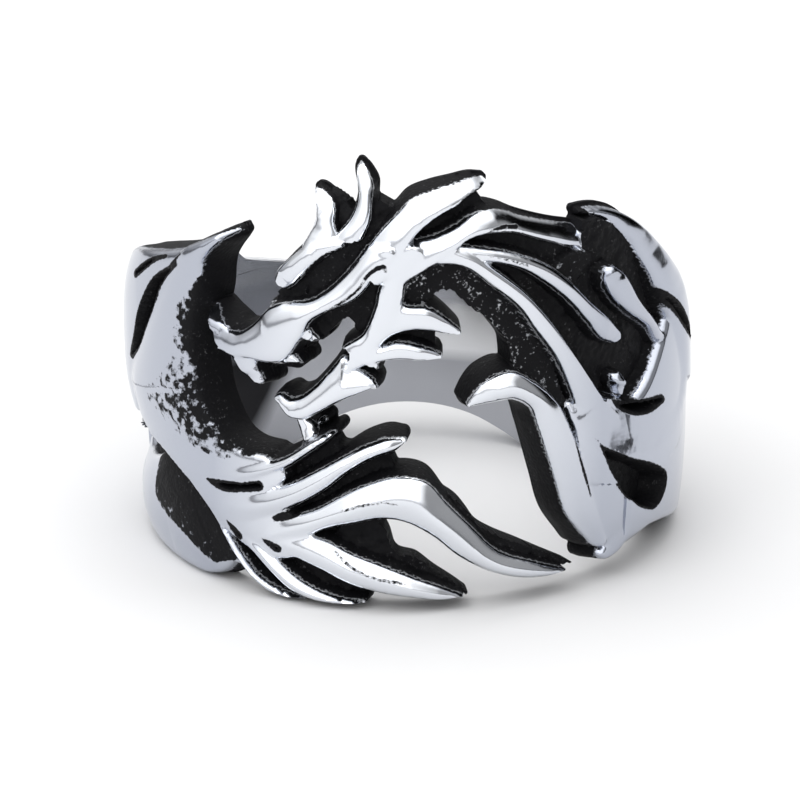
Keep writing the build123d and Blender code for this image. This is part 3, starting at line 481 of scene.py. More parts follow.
@dataclass(frozen=True)
class RightShoulder(Region):
    """The fin, the sheet beside it, the curled rim, the inner lock and the dark hollow."""

    hollow: Form = Kind.FLOOR.form(
        (42, 790, 40, 430, 50), (49, 775, 47, 370, 50), (56, 738, 55, 350, 50), (62, 680, 63, 345, 55),
        (70, 570, 72, 340, 60),
    )
    sheet: Form = Kind.POLISHED.form(
        (34.5, 420, 50, 400, 88, 10), (35, 395, 57, 355, 97, 40), (36.5, 340, 88, 280, 103, 80),
        (37.5, 265, 82, 165, 102, 80), (40.5, 180, 70, 105, 98, 60), (43.5, 120, 60.5, 76, 96, 40),
        (45, 82, 52.5, 64, 94, 20), edge=0.25,
    )
    rim: Form = Kind.POLISHED.form(
        (42.5, 806, 43, 794, 30, 10), (46.5, 804, 46.5, 783, 30, 30), (50.5, 797, 49.5, 770, 35, 40),
        (55, 782, 52.5, 750, 40, 50), (60, 757, 55, 728, 50, 50), (65, 724, 58, 703, 60, 50),
        (69.5, 686, 60.5, 668, 70, 60), (73.5, 645, 63, 630, 85, 70), (78, 602, 65, 592, 95, 80),
        (81, 562, 68, 540, 99, 90), (84, 520, 71, 500, 100, 100), (88, 460, 74, 420, 100, 100),
        (93, 370, 74, 340, 100, 100), (93, 280, 62, 320, 102, 30), edge=0.25,
    )
    inner_lock: Form = Kind.POLISHED.form(
        (46, 685, 49, 685, 84, 50), (45.5, 657, 52, 664, 85, 60), (48, 613, 57, 599, 86, 60),
        (54, 562, 62.5, 542, 87, 60), (61, 517, 68.5, 492, 88, 40), (65.5, 474, 78, 430, 90, 20),
        edge=0.2, closed=True,
    )
    blob: Form = Kind.FLOOR.form(
        (33, 716, 34, 677, 60), (36.5, 727, 38.5, 660, 64), (40, 731, 40, 679, 66), (43.5, 721, 43.5, 702, 66),
        frost=0.95,
    )
    crescent: Form = Kind.POLISHED.form(
        (62, 513, 81, 429, 86, 10), (66.5, 461, 87, 368, 85, 40), (64.5, 415, 87, 319, 85, 50),
        (60, 386, 77, 313, 85, 40), (56.5, 371, 64, 338, 85, 10), edge=0.3, closed=True,
    )
    bead: Form = Kind.POLISHED.form(
        (49, 450, 51.5, 449, 76, 60), (48.5, 434, 53, 423, 76, 90), (50, 408, 52, 403, 76, 60),
        edge=0.15, closed=True,
    )
    fin: Form = Kind.POLISHED.form(
        (12, 449, 12.5, 440, 90, 20), (13.5, 475, 15.5, 447, 100, 40), (16, 500, 19, 452, 106, 60),
        (21, 515, 21.5, 453, 108, 70), (26, 488, 25, 432, 110, 70), (31, 441, 27, 385, 110, 70),
        (35.5, 358, 29.5, 314, 110, 60), (39.5, 255, 31.5, 257, 108, 50), (42.5, 174, 34.5, 177, 104, 40),
        (45.5, 106, 40.5, 106, 100, 20), power=1.6,
    )
    right_recess: Form = Kind.RECESS.form(
        (40.5, 338, 41.5, 329, 90), (43, 314, 43, 288, 70), (46.5, 294, 44.5, 257, 60), (51, 268, 48.5, 204, 55),
        (57.5, 239, 54.5, 149, 50), (65.5, 196, 60, 122, 50),
    )
    rim_recess: Form = Kind.RECESS.form(
        (62, 612, 62.5, 602, 90), (66, 588, 66, 565, 75), (72, 545, 71.5, 517, 70), (78, 488, 77, 462, 75),
        (85, 430, 84, 415, 90),
    )
    curl_shade: Form = Kind.RECESS.form(
        (41.5, 804, 42.5, 782, 75), (44, 808, 45, 771, 72), (46.5, 784, 47.5, 762, 75),
    )
    arc: Form = Kind.RECESS.form(
        (46.5, 406, 47.5, 395, 75), (49.5, 392, 49.5, 372, 60), (54.5, 380, 54.5, 347, 55),
        (59.5, 371, 60, 339, 58), (63.5, 366, 65, 343, 75),
    )
    fin_line: Form = Kind.RECESS.form(
        (35.5, 342, 36, 341, 90), (37.5, 272, 38.5, 268, 90), (40, 208, 40.5, 206, 93),
    )


@dataclass(frozen=True)
class Backing:
    """Low metal behind the places where crossing forms would leave a pinhole between them."""

    spots: tuple = (
        (-9, -6, 515, 540), (-22, -19, 395, 412), (-19, -13.5, 155, 182), (12, 17.5, 790, 808),
        (33, 35, 443, 462), (39.5, 42, 635, 668), (44, 47.5, 765, 785),
    )
    lift: int = 50

    def forms(self) -> list[Form]:
        """One floor for each place."""
        return [
            Kind.FLOOR.form(*((side, high, side, low, self.lift) for side in (left, right)))
            for left, right, low, high in self.spots
        ]


@dataclass(frozen=True)
class Band:
    """The plain band behind the finger."""

    rows: tuple = (
        (52.0, 0.75, 1.00), (60.0, 0.80, 1.10), (68.0, 0.70, 1.30), (76.0, 0.50, 1.50), (86.0, 0.25, 1.36),
        (97.0, 0.05, 1.28), (108.0, 0.00, 1.22), (120.0, 0.00, 1.17), (132.0, 0.00, 1.13),
        (144.0, 0.06, 1.08), (154.0, 0.45, 1.04), (162.0, 0.75, 1.02), (171.0, 0.94, 1.00),
        (180.0, 1.00, 1.00), (189.0, 0.94, 1.02), (198.0, 0.75, 1.06), (206.0, 0.45, 1.11),
        (216.0, 0.06, 1.17), (228.0, 0.00, 1.25), (240.0, 0.00, 1.35), (247.0, 0.00, 1.42),
    )
    edge: float = 0.35

    def forms(self, sizes: Sizes) -> list[Form]:
        """The band as one form.

        Args:
            sizes: Driving sizes of the casting.

        Returns:
            The form, in a list.
        """
        lift = sizes.band_wall / sizes.face_wall
        crown = sizes.band_crown / sizes.crown_rise
        low = sizes.band_arch / sizes.face_height
        high = sizes.band_height / sizes.face_height
        rungs = tuple(Rung(angle, bottom * low, angle, top * high, lift, crown) for angle, bottom, top in self.rows)
        return [Form(rungs, Kind.POLISHED, edge=self.edge)]


@dataclass
class Outline:
    """A form's smooth rims on the unrolled face, in millimetres.

    Attributes:
        rim_a: Points of the first rim and its half of the tip.
        rim_b: Points of the second rim and its half of the tip.
        along: Rung number at each point of either rim.
        lift: Lift of each rung.
        crown: Crown of each rung.
    """

    rim_a: np.ndarray
    rim_b: np.ndarray
    along: np.ndarray
    lift: np.ndarray
    crown: np.ndarray

    PER_RUNG, TIP_POINTS = 7, 5  # points from one rung to the next, and round half a tip

    @classmethod
    def of(cls, form: Form, sizes: Sizes) -> Outline:
        """Runs smooth rims through a form's rungs and rounds its tip.

        Args:
            form: The form.
            sizes: Driving sizes of the casting.

        Returns:
            The outline.
        """
        rungs = np.array(form.rungs, dtype=float)
        unroll = sizes.face * math.pi / 180.0
        points = np.column_stack([
            rungs[:, 0] * unroll, rungs[:, 1] * sizes.face_height,
            rungs[:, 2] * unroll, rungs[:, 3] * sizes.face_height,
        ])
        smooth, along = cls.smoothed(points)
        rim_a, rim_b = smooth[:, :2], smooth[:, 2:]
        ahead = (smooth[-1] - smooth[-2]).reshape(2, 2).sum(axis=0)
        ahead /= max(np.hypot(*ahead), 1e-9)
        middle = (rim_a[-1] + rim_b[-1]) / 2.0
        half = (rim_a[-1] - rim_b[-1]) / 2.0
        reach = 0.0 if form.kind in (Kind.FLOOR, Kind.STAIN) else np.hypot(*half)
        turns = np.linspace(0.0, math.pi / 2.0, cls.TIP_POINTS + 1)[1:]
        tip_a = [middle + half * math.cos(t) + ahead * reach * math.sin(t) for t in turns]
        tip_b = [middle - half * math.cos(t) + ahead * reach * math.sin(t) for t in turns]
        ends = np.full(len(turns), along[-1])
        rims = np.vstack([rim_a, tip_a]), np.vstack([rim_b, tip_b])
        return cls(*rims, np.concatenate([along, ends]), rungs[:, 4], rungs[:, 5])

    @classmethod
    def smoothed(cls, points: np.ndarray) -> tuple[np.ndarray, np.ndarray]:
        """A smooth path through points, with more points in between.

        Args:
            points: One row a point.

        Returns:
            The path's points, and the rung number of each.
        """
        spans = np.maximum(np.linalg.norm(np.diff(points, axis=0), axis=1), 1e-6)
        steps = np.diff(points, axis=0) / spans[:, None]
        slopes = np.empty_like(points)
        slopes[0], slopes[-1] = steps[0], steps[-1]
        before, after = spans[:-1, None], spans[1:, None]
        slopes[1:-1] = (steps[:-1] * after + steps[1:] * before) / (before + after)
        path, along = [points[:1]], [np.zeros(1)]
        share = np.linspace(0.0, 1.0, cls.PER_RUNG + 1)[1:, None]
        for i, span in enumerate(spans):
            square, cube = share**2, share**3
            path.append(
                (2 * cube - 3 * square + 1) * points[i] + (cube - 2 * square + share) * span * slopes[i]
                + (3 * square - 2 * cube) * points[i + 1] + (cube - square) * span * slopes[i + 1]
            )
            along.append(i + share[:, 0])
        return np.vstack(path), np.concatenate(along)

    def polygon(self) -> np.ndarray:
        """The closed outline."""
        return np.vstack([self.rim_a, self.rim_b[::-1]])

    def reach(self, margin: float) -> tuple[np.ndarray, np.ndarray]:
        """The lowest and highest corners of the outline with a margin round it."""
        points = self.polygon()
        return points.min(axis=0) - margin, points.max(axis=0) + margin


def nearest(points: np.ndarray, path: np.ndarray, along: np.ndarray) -> tuple[np.ndarray, np.ndarray]:
    """Distance from each point to a path, and the rung number where it is nearest.

    Args:
        points: Points of the unrolled face.
        path: The path's points.
        along: Rung number at each point of the path.

    Returns:
        Distances and rung numbers.
    """
    start, run = path[:-1], np.diff(path, axis=0)
    length = np.maximum((run**2).sum(axis=1), 1e-12)
    off_x = points[:, 0, None] - start[None, :, 0]
    off_z = points[:, 1, None] - start[None, :, 1]
    share = np.clip((off_x * run[:, 0] + off_z * run[:, 1]) / length, 0.0, 1.0)
    gap = (off_x - share * run[:, 0]) ** 2 + (off_z - share * run[:, 1]) ** 2
    best = gap.argmin(axis=1)
    row = np.arange(len(points))
    rung = along[best] + share[row, best] * (along[best + 1] - along[best])
    return np.sqrt(gap[row, best]), rung


def inside(points: np.ndarray, polygon: np.ndarray) -> np.ndarray:
    """Whether each point lies inside a closed polygon."""
    ax, az = polygon[:, 0], polygon[:, 1]
    bx, bz = np.roll(ax, -1), np.roll(az, -1)
    px, pz = points[:, 0, None], points[:, 1, None]
    rise = np.where(bz == az, 1e-12, bz - az)
    crosses = ((az > pz) != (bz > pz)) & (px < (bx - ax) * (pz - az) / rise + ax)
    return crosses.sum(axis=1) % 2 == 1


def smoothstep(low: float, high: float, value: np.ndarray) -> np.ndarray:
    """A smooth rise from 0 at low to 1 at high."""
    share = np.clip((value - low) / (high - low), 0.0, 1.0)
    return share * share * (3.0 - 2.0 * share)


@dataclass
class Grain:
    """Seeded lattice noise for the rough floors of the casting."""

    seed: int = 11
    size: int = 256
    table: np.ndarray = field(init=False)

    def __post_init__(self) -> None:
        """Draws the lattice."""
        self.table = np.random.RandomState(self.seed).rand(self.size, self.size)

    def at(self, points: np.ndarray, scale: float) -> np.ndarray:
        """Noise between -1 and 1.

        Args:
            points: Points of the unrolled face.
            scale: Size of one grain, in millimetres.

        Returns:
            One value for each point.
        """
        u, v = points[:, 0] / scale, points[:, 1] / scale
        i, j = np.floor(u).astype(int), np.floor(v).astype(int)
        fu, fv = smoothstep(0.0, 1.0, u - i), smoothstep(0.0, 1.0, v - j)
        corner = [self.table[(i + a) % self.size, (j + b) % self.size] for a, b in ((0, 0), (1, 0), (0, 1), (1, 1))]
        low = corner[0] * (1 - fu) + corner[1] * fu
        high = corner[2] * (1 - fu) + corner[3] * fu
        return 2.0 * (low * (1 - fv) + high * fv) - 1.0


class Surface(NamedTuple):
    """The face's fields at some points."""

    outline: np.ndarray  # distance inside the casting's outline
    polish: np.ndarray  # distance inside the bright metal's rims
    radius: np.ndarray  # distance of the surface from the finger's axis


@dataclass
class Relief:
    """The face of the ring as forms over the unrolled bore.

    Attributes:
        forms: Every form.
        sizes: Driving sizes of the casting.
        grain: Noise for the floors.
        roughness: Height of the coarse grain, in millimetres.
    """

    forms: list[Form]
    sizes: Sizes
    grain: Grain = field(default_factory=Grain)
    roughness: float = 0.05
    outlines: list[Outline] = field(init=False)

    CHUNK = 6000  # points worked out at once
    AWAY = 9.0  # a distance that stands for no form at a point
    BELOW = 5.0  # a depth under the bore that stands for no surface
    MARGIN = 0.6  # how far round its outline a form is worked out
    DRAFTS = 4.0  # how many drafts the dark slope runs on
    COVER, COVERED = 0.05, 1.5  # a rim this far under another form fades, at this rate
    DULL, FROSTED = -0.2, 0.182  # polish of a floor, and what full frost adds to it
    STAIN_RIM, STAIN_DEPTH = 0.06, 0.15  # polish at the rim of a stain and of the lobe's painted shade, and how far it falls
    STAIN_GRAIN, COARSE, FINE = 0.18, 0.3, 0.13  # sizes of the grains
    WORN, FINE_SHARE = 0.02, 0.6  # share of the grain in the polish, and of the fine one in the height
    BLACK_FROM, BLACK_TO = 0.02, 0.2  # how far outside a rim the roughness starts and is whole

    def __post_init__(self) -> None:
        """Works out the outlines once."""
        self.outlines = [Outline.of(form, self.sizes) for form in self.forms]

    def form_at(self, form: Form, outline: Outline, points: np.ndarray) -> tuple[np.ndarray, ...]:
        """One form's distance inside its rims, its surface radius and the share across it.

        Args:
            form: The form.
            outline: Its rims.
            points: Points of the unrolled face.

        Returns:
            Distances, radii and shares.
        """
        sizes = self.sizes
        to_a, rung_a = nearest(points, outline.rim_a, outline.along)
        to_b, rung_b = nearest(points, outline.rim_b, outline.along)
        total = np.maximum(to_a + to_b, 1e-9)
        across = to_a / total
        rung = (rung_a * to_b + rung_b * to_a) / total
        depth = np.minimum(to_a, to_b)
        if form.closed:
            root = np.vstack([outline.rim_a[:1], outline.rim_b[:1]])
            depth = np.minimum(depth, nearest(points, root, np.zeros(2))[0])
        depth = np.where(inside(points, outline.polygon()), depth, -depth)
        numbers = np.arange(len(outline.lift))
        lift = np.interp(rung, numbers, outline.lift)
        crown = np.interp(rung, numbers, outline.crown)
        rim = sizes.bore + sizes.face_wall * lift + form.tilt * (across - 0.5)
        if form.kind is not Kind.POLISHED:
            return depth, rim, across
        swell = crown * sizes.crown_rise * (1.0 - np.abs(2.0 * across - 1.0) ** form.power)
        near = np.clip(1.0 - depth / form.edge, 0.0, 1.0)
        rounded = form.edge * (1.0 - np.sqrt(np.maximum(1.0 - near**2, 0.0)))
        slope = np.clip(-depth / sizes.draft, 0.0, self.DRAFTS)
        fallen = rim - form.edge - sizes.fall * slope
        return depth, np.where(depth >= 0.0, rim + swell - rounded, fallen), across

    def at(self, points: np.ndarray) -> Surface:
        """The fields at points of the unrolled face.

        Args:
            points: Distance round the face and height, one row a point.

        Returns:
            The face's fields.
        """
        sizes = self.sizes
        count = len(points)
        outline, polish = np.full(count, -self.AWAY), np.full(count, -self.AWAY)
        bright, low = np.full(count, sizes.bore - self.BELOW), np.full(count, sizes.bore - self.BELOW)
        dull_level = np.full(count, self.DULL)
        kept, sunk, stains_and_painted_shade = [], [], []
        for form, rims in zip(self.forms, self.outlines):
            corner, far = rims.reach(self.MARGIN)
            picked = np.flatnonzero(((points >= corner) & (points <= far)).all(axis=1))
            for start in range(0, len(picked), self.CHUNK):
                rows = picked[start:start + self.CHUNK]
                depth, radius, across = self.form_at(form, rims, points[rows])
                if form.kind is Kind.POLISHED:
                    outline[rows] = np.maximum(outline[rows], depth + sizes.foot)
                    gap = np.maximum(sizes.blend - np.abs(bright[rows] - radius), 0.0) / sizes.blend
                    bright[rows] = np.maximum(bright[rows], radius) + gap**2 * sizes.blend / 4.0
                    kept.append((rows, depth, radius))
                elif form.kind is Kind.FLOOR:
                    outline[rows] = np.maximum(outline[rows], depth)
                    higher = (depth > 0.0) & (radius > low[rows])
                    low[rows] = np.where(higher, radius, low[rows])
                    dull_level[rows] = np.where(higher, self.DULL + self.FROSTED * form.frost, dull_level[rows])
                elif form.kind is Kind.RECESS:
                    sunk.append((rows, depth, radius))
                else:
                    stains_and_painted_shade.append((rows, depth, across**form.power * (1.0 - form.frost)))
        for rows, depth, radius in kept:
            hidden = np.maximum(bright[rows] - radius - self.COVER, 0.0)
            polish[rows] = np.maximum(polish[rows], depth - self.COVERED * hidden)
        for rows, depth, radius in sunk:
            slope = np.clip(1.0 - depth / sizes.draft, 0.0, 1.0)
            cut = radius + sizes.fall * np.where(depth > 0.0, slope, self.AWAY)
            bright[rows] = np.minimum(bright[rows], cut)
            polish[rows] = np.minimum(polish[rows], -depth)
        # stains, and the painted dark reflection on the lobe, pull the polish down towards black
        for rows, depth, dark in stains_and_painted_shade:
            speckle = self.STAIN_RIM * self.grain.at(points[rows], self.STAIN_GRAIN)
            shade = np.where(depth > 0.0, self.STAIN_RIM - self.STAIN_DEPTH * dark + speckle, self.AWAY)
            polish[rows] = np.minimum(polish[rows], shade)
        coarse = self.grain.at(points, self.COARSE)
        worn = dull_level + self.WORN * coarse
        polish = np.where(low > bright, worn, polish)
        surface = np.maximum(bright, low)
        dull = smoothstep(self.BLACK_FROM, self.BLACK_TO, -polish)
        rough = coarse + self.FINE_SHARE * self.grain.at(points, self.FINE)
        surface = surface + self.roughness * rough * dull
        outline = np.minimum(outline, points[:, 1])
        return Surface(outline, polish, np.maximum(surface, sizes.bore + sizes.least_wall))


@dataclass
class Casting:
    """Turns the relief into one closed mesh.

    Attributes:
        relief: The face's fields.
        step: Height of one cell of the mesh, in millimetres.
        turn: Angle of one cell at the front, in degrees.
        coarse_turn: Angle of one cell behind the finger, in degrees.
        front: Angle to each side of the front that has the fine cells.
        block: Cells along a side of the large facets inside the bore.
        wall_rings: Rows of facets down a pierced wall.
        growth: How much wider each column is than the last one, on the way to the coarse cells.
        narrowing: Degrees before the seam where the columns narrow again.
    """

    relief: Relief
    step: float
    turn: float
    coarse_turn: float = 2.4
    front: float = 100.0
    block: int = 6
    wall_rings: int = 3
    growth: float = 1.12
    narrowing: float = 24.0

    SEAM = -108.0  # where the mesh starts and ends, in degrees
    CELLS_UNDER, CELLS_OVER = 3.0, 4.0  # spare cells below the face and above it

    def angles(self) -> np.ndarray:
        """The mesh's columns, fine at the front and coarser behind the finger, in degrees."""
        fine = np.arange(self.SEAM, self.front, self.turn)
        grown, width = [fine[-1]], self.turn
        while grown[-1] < self.SEAM + 360.0:
            left = self.SEAM + 360.0 - grown[-1]
            wider, narrower = min(width * self.growth, self.coarse_turn), max(width / self.growth, self.turn)
            width = wider if left > self.narrowing else narrower
            grown.append(grown[-1] + width)
        tail = np.array(grown[1:-1])
        count = self.block * math.ceil((len(fine) + len(tail)) / self.block)
        spare = count - len(fine) - len(tail)
        extra = np.linspace(tail[-1], self.SEAM + 360.0, spare + 2)[1:-1]
        return np.concatenate([fine, tail, extra])

    def snapped(self, spots: np.ndarray, value: np.ndarray, free: np.ndarray) -> tuple[np.ndarray, np.ndarray]:
        """Moves grid points onto the line where a field is zero, along the grid's own lines.

        Args:
            spots: Grid points, columns by rows by two.
            value: The field at them.
            free: Which points may move.

        Returns:
            The points after the move, and which ones moved.
        """
        best = np.full(value.shape, np.inf)
        moved = spots.copy()
        span = self.relief.sizes.face * 2.0 * math.pi
        for axis, way in ((0, 1), (0, -1), (1, 1), (1, -1)):
            near_value = np.roll(value, -way, axis=axis)
            near_spot = np.roll(spots, -way, axis=axis).copy()
            if axis == 0:
                edge = -1 if way == 1 else 0
                near_spot[edge, :, 0] += way * span
            offset = near_spot - spots
            crosses = (value > 0.0) != (near_value > 0.0)
            if axis == 1:
                edge = -1 if way == 1 else 0
                crosses[:, edge] = False
            gap = np.where(value == near_value, 1.0, value - near_value)
            share = np.where(crosses, value / gap, 2.0)
            length = np.hypot(offset[..., 0], offset[..., 1]) * share
            better = crosses & free & (share <= 0.5) & (length < best)
            best = np.where(better, length, best)
            moved = np.where(better[..., None], spots + offset * share[..., None], moved)
        return moved, np.isfinite(best)

    def build(self) -> Shell:
        """Samples the relief, fits the grid to its lines and closes it over the bore.

        Returns:
            The shell's arrays.
        """
        sizes = self.relief.sizes
        angles = self.angles()
        top = sizes.face_height + self.CELLS_OVER * self.step
        rows = np.arange(-self.CELLS_UNDER * self.step, top, self.step)
        rows = rows[:self.block * (len(rows) // self.block) + 1]
        x, z = np.meshgrid(np.radians(angles) * sizes.face, rows, indexing="ij")
        spots = np.stack([x, z], axis=-1)
        first = self.relief.at(spots.reshape(-1, 2))
        outline = first.outline.reshape(x.shape)
        polish = first.polish.reshape(x.shape)
        spots, on_outline = self.snapped(spots, outline, np.ones_like(outline, dtype=bool))
        spots, on_rim = self.snapped(spots, polish, ~on_outline & (outline > 0.0))
        final = self.relief.at(spots.reshape(-1, 2))
        radius = final.radius.reshape(x.shape)
        polish_now = np.where(on_rim, 0.0, final.polish.reshape(x.shape))
        side = np.where(on_outline, 0, np.where(outline > 0.0, 1, -1))
        rim_side = np.where(on_rim, 0, np.where(polish > 0.0, 1, -1))
        return Shell.from_grid(self, spots, outline, side, rim_side, radius, polish_now)


@dataclass
class Shell:
    """The closed casting.

    Attributes:
        points: Vertices, in millimetres.
        polish: The polish field at them.
        facets: Vertex numbers of each facet.
        bore_from: Number of the first facet inside the bore.
    """

    points: np.ndarray
    polish: np.ndarray
    facets: list[np.ndarray]
    bore_from: int

    PLAIN_FROM, PLAIN_TO = 98.0, 105.0  # degrees from the front where the band turns wholly bright
    WALL_POLISH, PLAIN_POLISH = -0.3, 0.1  # highest polish of a wall, and lowest of the plain band
    SHARP = 48.0  # degrees between two facets that keep a sharp edge

    @classmethod
    def from_grid(
        cls, casting: Casting, spots: np.ndarray, outline: np.ndarray, side: np.ndarray,
        rim_side: np.ndarray, radius: np.ndarray, polish: np.ndarray,
    ) -> Shell:
        """Cuts the grid along the outline and adds the walls and the bore.

        Args:
            casting: The casting's settings.
            spots: Grid points on the unrolled face.
            outline: The outline field before the points moved.
            side: 1 inside the outline, 0 on it, -1 outside.
            rim_side: The same for the polished rims.
            radius: The surface's radius at the points.
            polish: The polish field at the points.

        Returns:
            The closed shell.
        """
        columns, rows = side.shape
        index = np.arange(columns * rows).reshape(columns, rows)
        a, b = index[:, :-1], np.roll(index, -1, axis=0)[:, :-1]
        c, d = np.roll(index, -1, axis=0)[:, 1:], index[:, 1:]
        flat_side, flat_rim, flat_radius, flat_line = (part.ravel() for part in (side, rim_side, radius, outline))
        by_outline = flat_side[a] * flat_side[c] - flat_side[b] * flat_side[d]
        by_rim = flat_rim[a] * flat_rim[c] - flat_rim[b] * flat_rim[d]
        drop_ac = np.abs(flat_radius[a] - flat_radius[c])
        drop_bd = np.abs(flat_radius[b] - flat_radius[d])
        use_ac = np.where(by_outline != 0, by_outline > 0, np.where(by_rim != 0, by_rim > 0, drop_ac <= drop_bd))
        first = np.where(use_ac[..., None], np.stack([a, b, c], -1), np.stack([a, b, d], -1))
        second = np.where(use_ac[..., None], np.stack([a, c, d], -1), np.stack([b, c, d], -1))
        cell_mean = (flat_line[a] + flat_line[b] + flat_line[c] + flat_line[d]) / 4.0
        kept = []
        for triangle in (first, second):
            sides = flat_side[triangle]
            whole = (sides >= 0).all(axis=-1)
            kept.append(whole & ((sides > 0).any(axis=-1) | (cell_mean > 0.0)))
        corners = np.stack([flat_side[part] for part in (a, b, c, d)])
        full = kept[0] & kept[1] & (corners >= 0).all(axis=0)
        top = np.vstack([first[kept[0]], second[kept[1]]])
        walls = cls.open_edges(top)
        blocks, covered = cls.large_facets(casting, index, full)
        under = np.vstack([first[kept[0] & ~covered], second[kept[1] & ~covered]])[:, ::-1]
        return cls.assembled(casting, spots.reshape(-1, 2), flat_radius, polish.ravel(), top, walls, under, blocks)

    @staticmethod
    def open_edges(triangles: np.ndarray) -> np.ndarray:
        """The directed edges that only one triangle has."""
        edges = np.vstack([triangles[:, [0, 1]], triangles[:, [1, 2]], triangles[:, [2, 0]]])
        ordered = np.sort(edges, axis=1)
        key = ordered[:, 0].astype(np.int64) * (ordered.max() + 1) + ordered[:, 1]
        _, inverse, count = np.unique(key, return_inverse=True, return_counts=True)
        return edges[count[inverse] == 1]

    @staticmethod
    def large_facets(casting: Casting, index: np.ndarray, full: np.ndarray) -> tuple[list[np.ndarray], np.ndarray]:
        """Facets of several cells each for the plain inside of the bore.

        Args:
            casting: The casting's settings.
            index: Number of each grid point.
            full: Which cells lie wholly in the metal.

        Returns:
            The facets' corners, and which cells they cover.
        """
        size = casting.block
        columns, rows = full.shape
        wide, tall = columns // size, rows // size
        solid = full[:wide * size, :tall * size].reshape(wide, size, tall, size).all(axis=(1, 3))
        covered = np.zeros_like(full)
        covered[:wide * size, :tall * size] = np.repeat(np.repeat(solid, size, axis=0), size, axis=1)
        facets = []
        for i, j in zip(*np.nonzero(solid)):
            low_i, low_j = i * size, j * size
            ring = []
            sides = (
                (j > 0 and solid[i, j - 1], [(low_i + k, low_j) for k in range(size)]),
                (solid[(i + 1) % wide, j], [(low_i + size, low_j + k) for k in range(size)]),
                (j + 1 < tall and solid[i, j + 1], [(low_i + size - k, low_j + size) for k in range(size)]),
                (solid[i - 1, j], [(low_i, low_j + size - k) for k in range(size)]),
            )
            for plain, corners in sides:
                ring += corners[:1] if plain else corners
            facets.append(np.array([index[p % index.shape[0], q] for p, q in reversed(ring)]))
        return facets, covered

    @classmethod
    def assembled(
        cls, casting: Casting, spots: np.ndarray, radius: np.ndarray, polish: np.ndarray,
        top: np.ndarray, walls: np.ndarray, under: np.ndarray, blocks: list[np.ndarray],
    ) -> Shell:
        """Numbers the used points and joins the face, the walls and the bore.

        Args:
            casting: The casting's settings.
            spots: Grid points on the unrolled face.
            radius: Radius of the face at them.
            polish: Polish field at them.
            top: Triangles of the face.
            walls: Directed edges of the outline.
            under: Triangles of the bore.
            blocks: Larger facets of the bore.

        Returns:
            The closed shell.
        """
        sizes = casting.relief.sizes
        total = len(spots)
        layers = casting.wall_rings + 1
        walled = [radius + (sizes.bore - radius) * ring / layers for ring in range(1, layers)]
        levels = [radius, *walled, np.full(total, sizes.bore)]
        facets = list(top)
        for upper in range(layers):
            here, there = upper * total, (upper + 1) * total
            first, last = walls[:, 0], walls[:, 1]
            facets += list(np.column_stack([last + here, first + here, first + there, last + there]))
        bore_from = len(facets)
        facets += [row + layers * total for part in (under, blocks) for row in part]
        used = np.unique(np.concatenate(facets))
        renumber = np.zeros((layers + 1) * total, dtype=np.int64)
        renumber[used] = np.arange(len(used))
        angle = spots[:, 0] / sizes.face
        every = np.concatenate([
            np.column_stack([level * np.sin(angle), -level * np.cos(angle), spots[:, 1]]) for level in levels
        ])
        turned = np.abs(np.mod(np.degrees(angle) + 180.0, 360.0) - 180.0)
        plain = np.tile(smoothstep(cls.PLAIN_FROM, cls.PLAIN_TO, turned), layers + 1)
        shine = np.concatenate([polish] + [np.minimum(polish, cls.WALL_POLISH)] * layers)
        shine += plain * (np.maximum(shine, cls.PLAIN_POLISH) - shine)
        return cls(every[used], shine[used], [renumber[row] for row in facets], bore_from)

    def mesh(self, name: str) -> bpy.types.Mesh:
        """The shell as a Blender mesh in metres.

        Args:
            name: The mesh's name.

        Returns:
            The mesh, with the field "polish" on its points and its bore in the second slot.
        """
        mesh = bpy.data.meshes.new(name)
        counts = np.array([len(row) for row in self.facets], dtype=np.int32)
        corners = np.concatenate(self.facets).astype(np.int32)
        mesh.vertices.add(len(self.points))
        mesh.vertices.foreach_set("co", (self.points * MM).ravel())
        mesh.loops.add(len(corners))
        mesh.loops.foreach_set("vertex_index", corners)
        mesh.polygons.add(len(counts))
        mesh.polygons.foreach_set("loop_start", np.concatenate([[0], np.cumsum(counts)[:-1]]).astype(np.int32))
        slots = np.zeros(len(counts), dtype=np.int32)
        slots[self.bore_from:] = 1
        mesh.polygons.foreach_set("material_index", slots)
        mesh.update(calc_edges=True)
        mesh.validate()
        shine = mesh.attributes.new("polish", "FLOAT", "POINT")
        shine.data.foreach_set("value", self.polish.astype(np.float32))
        mesh.shade_smooth()
        mesh.set_sharp_from_angle(angle=math.radians(self.SHARP))
        return mesh


class Value:
    """A shader socket that takes part in Python expressions."""

    def __init__(self, graph: Graph, socket: bpy.types.NodeSocket) -> None:
        """Wraps a socket of a graph."""
        self.graph = graph
        self.socket = socket

    def _math(self, operation: str, *others: Any) -> Value:
        """A Math node on this value and others."""
        return self.graph.node("ShaderNodeMath", {"operation": operation}, *others)

    def __add__(self, other: Any) -> Value:
        """This plus other."""
        return self._math("ADD", self, other)

    __radd__ = __add__

    def __sub__(self, other: Any) -> Value:
        """This minus other."""
        return self._math("SUBTRACT", self, other)

    def __rsub__(self, other: Any) -> Value:
        """Other minus this."""
        return self._math("SUBTRACT", other, self)

    def __mul__(self, other: Any) -> Value:
        """This times other."""
        return self._math("MULTIPLY", self, other)

    __rmul__ = __mul__

    def __truediv__(self, other: Any) -> Value:
        """This over other."""
        return self._math("DIVIDE", self, other)

    def clamped(self) -> Value:
        """This, held between 0 and 1."""
        return self.graph.node("ShaderNodeClamp", {}, self, 0.0, 1.0)

    def ranged(self, start: float, end: float, low: float = 0.0, high: float = 1.0) -> Value:
        """This, brought from start and end to low and high and held there."""
        return self.graph.node("ShaderNodeMapRange", {}, self, start, end, low, high)


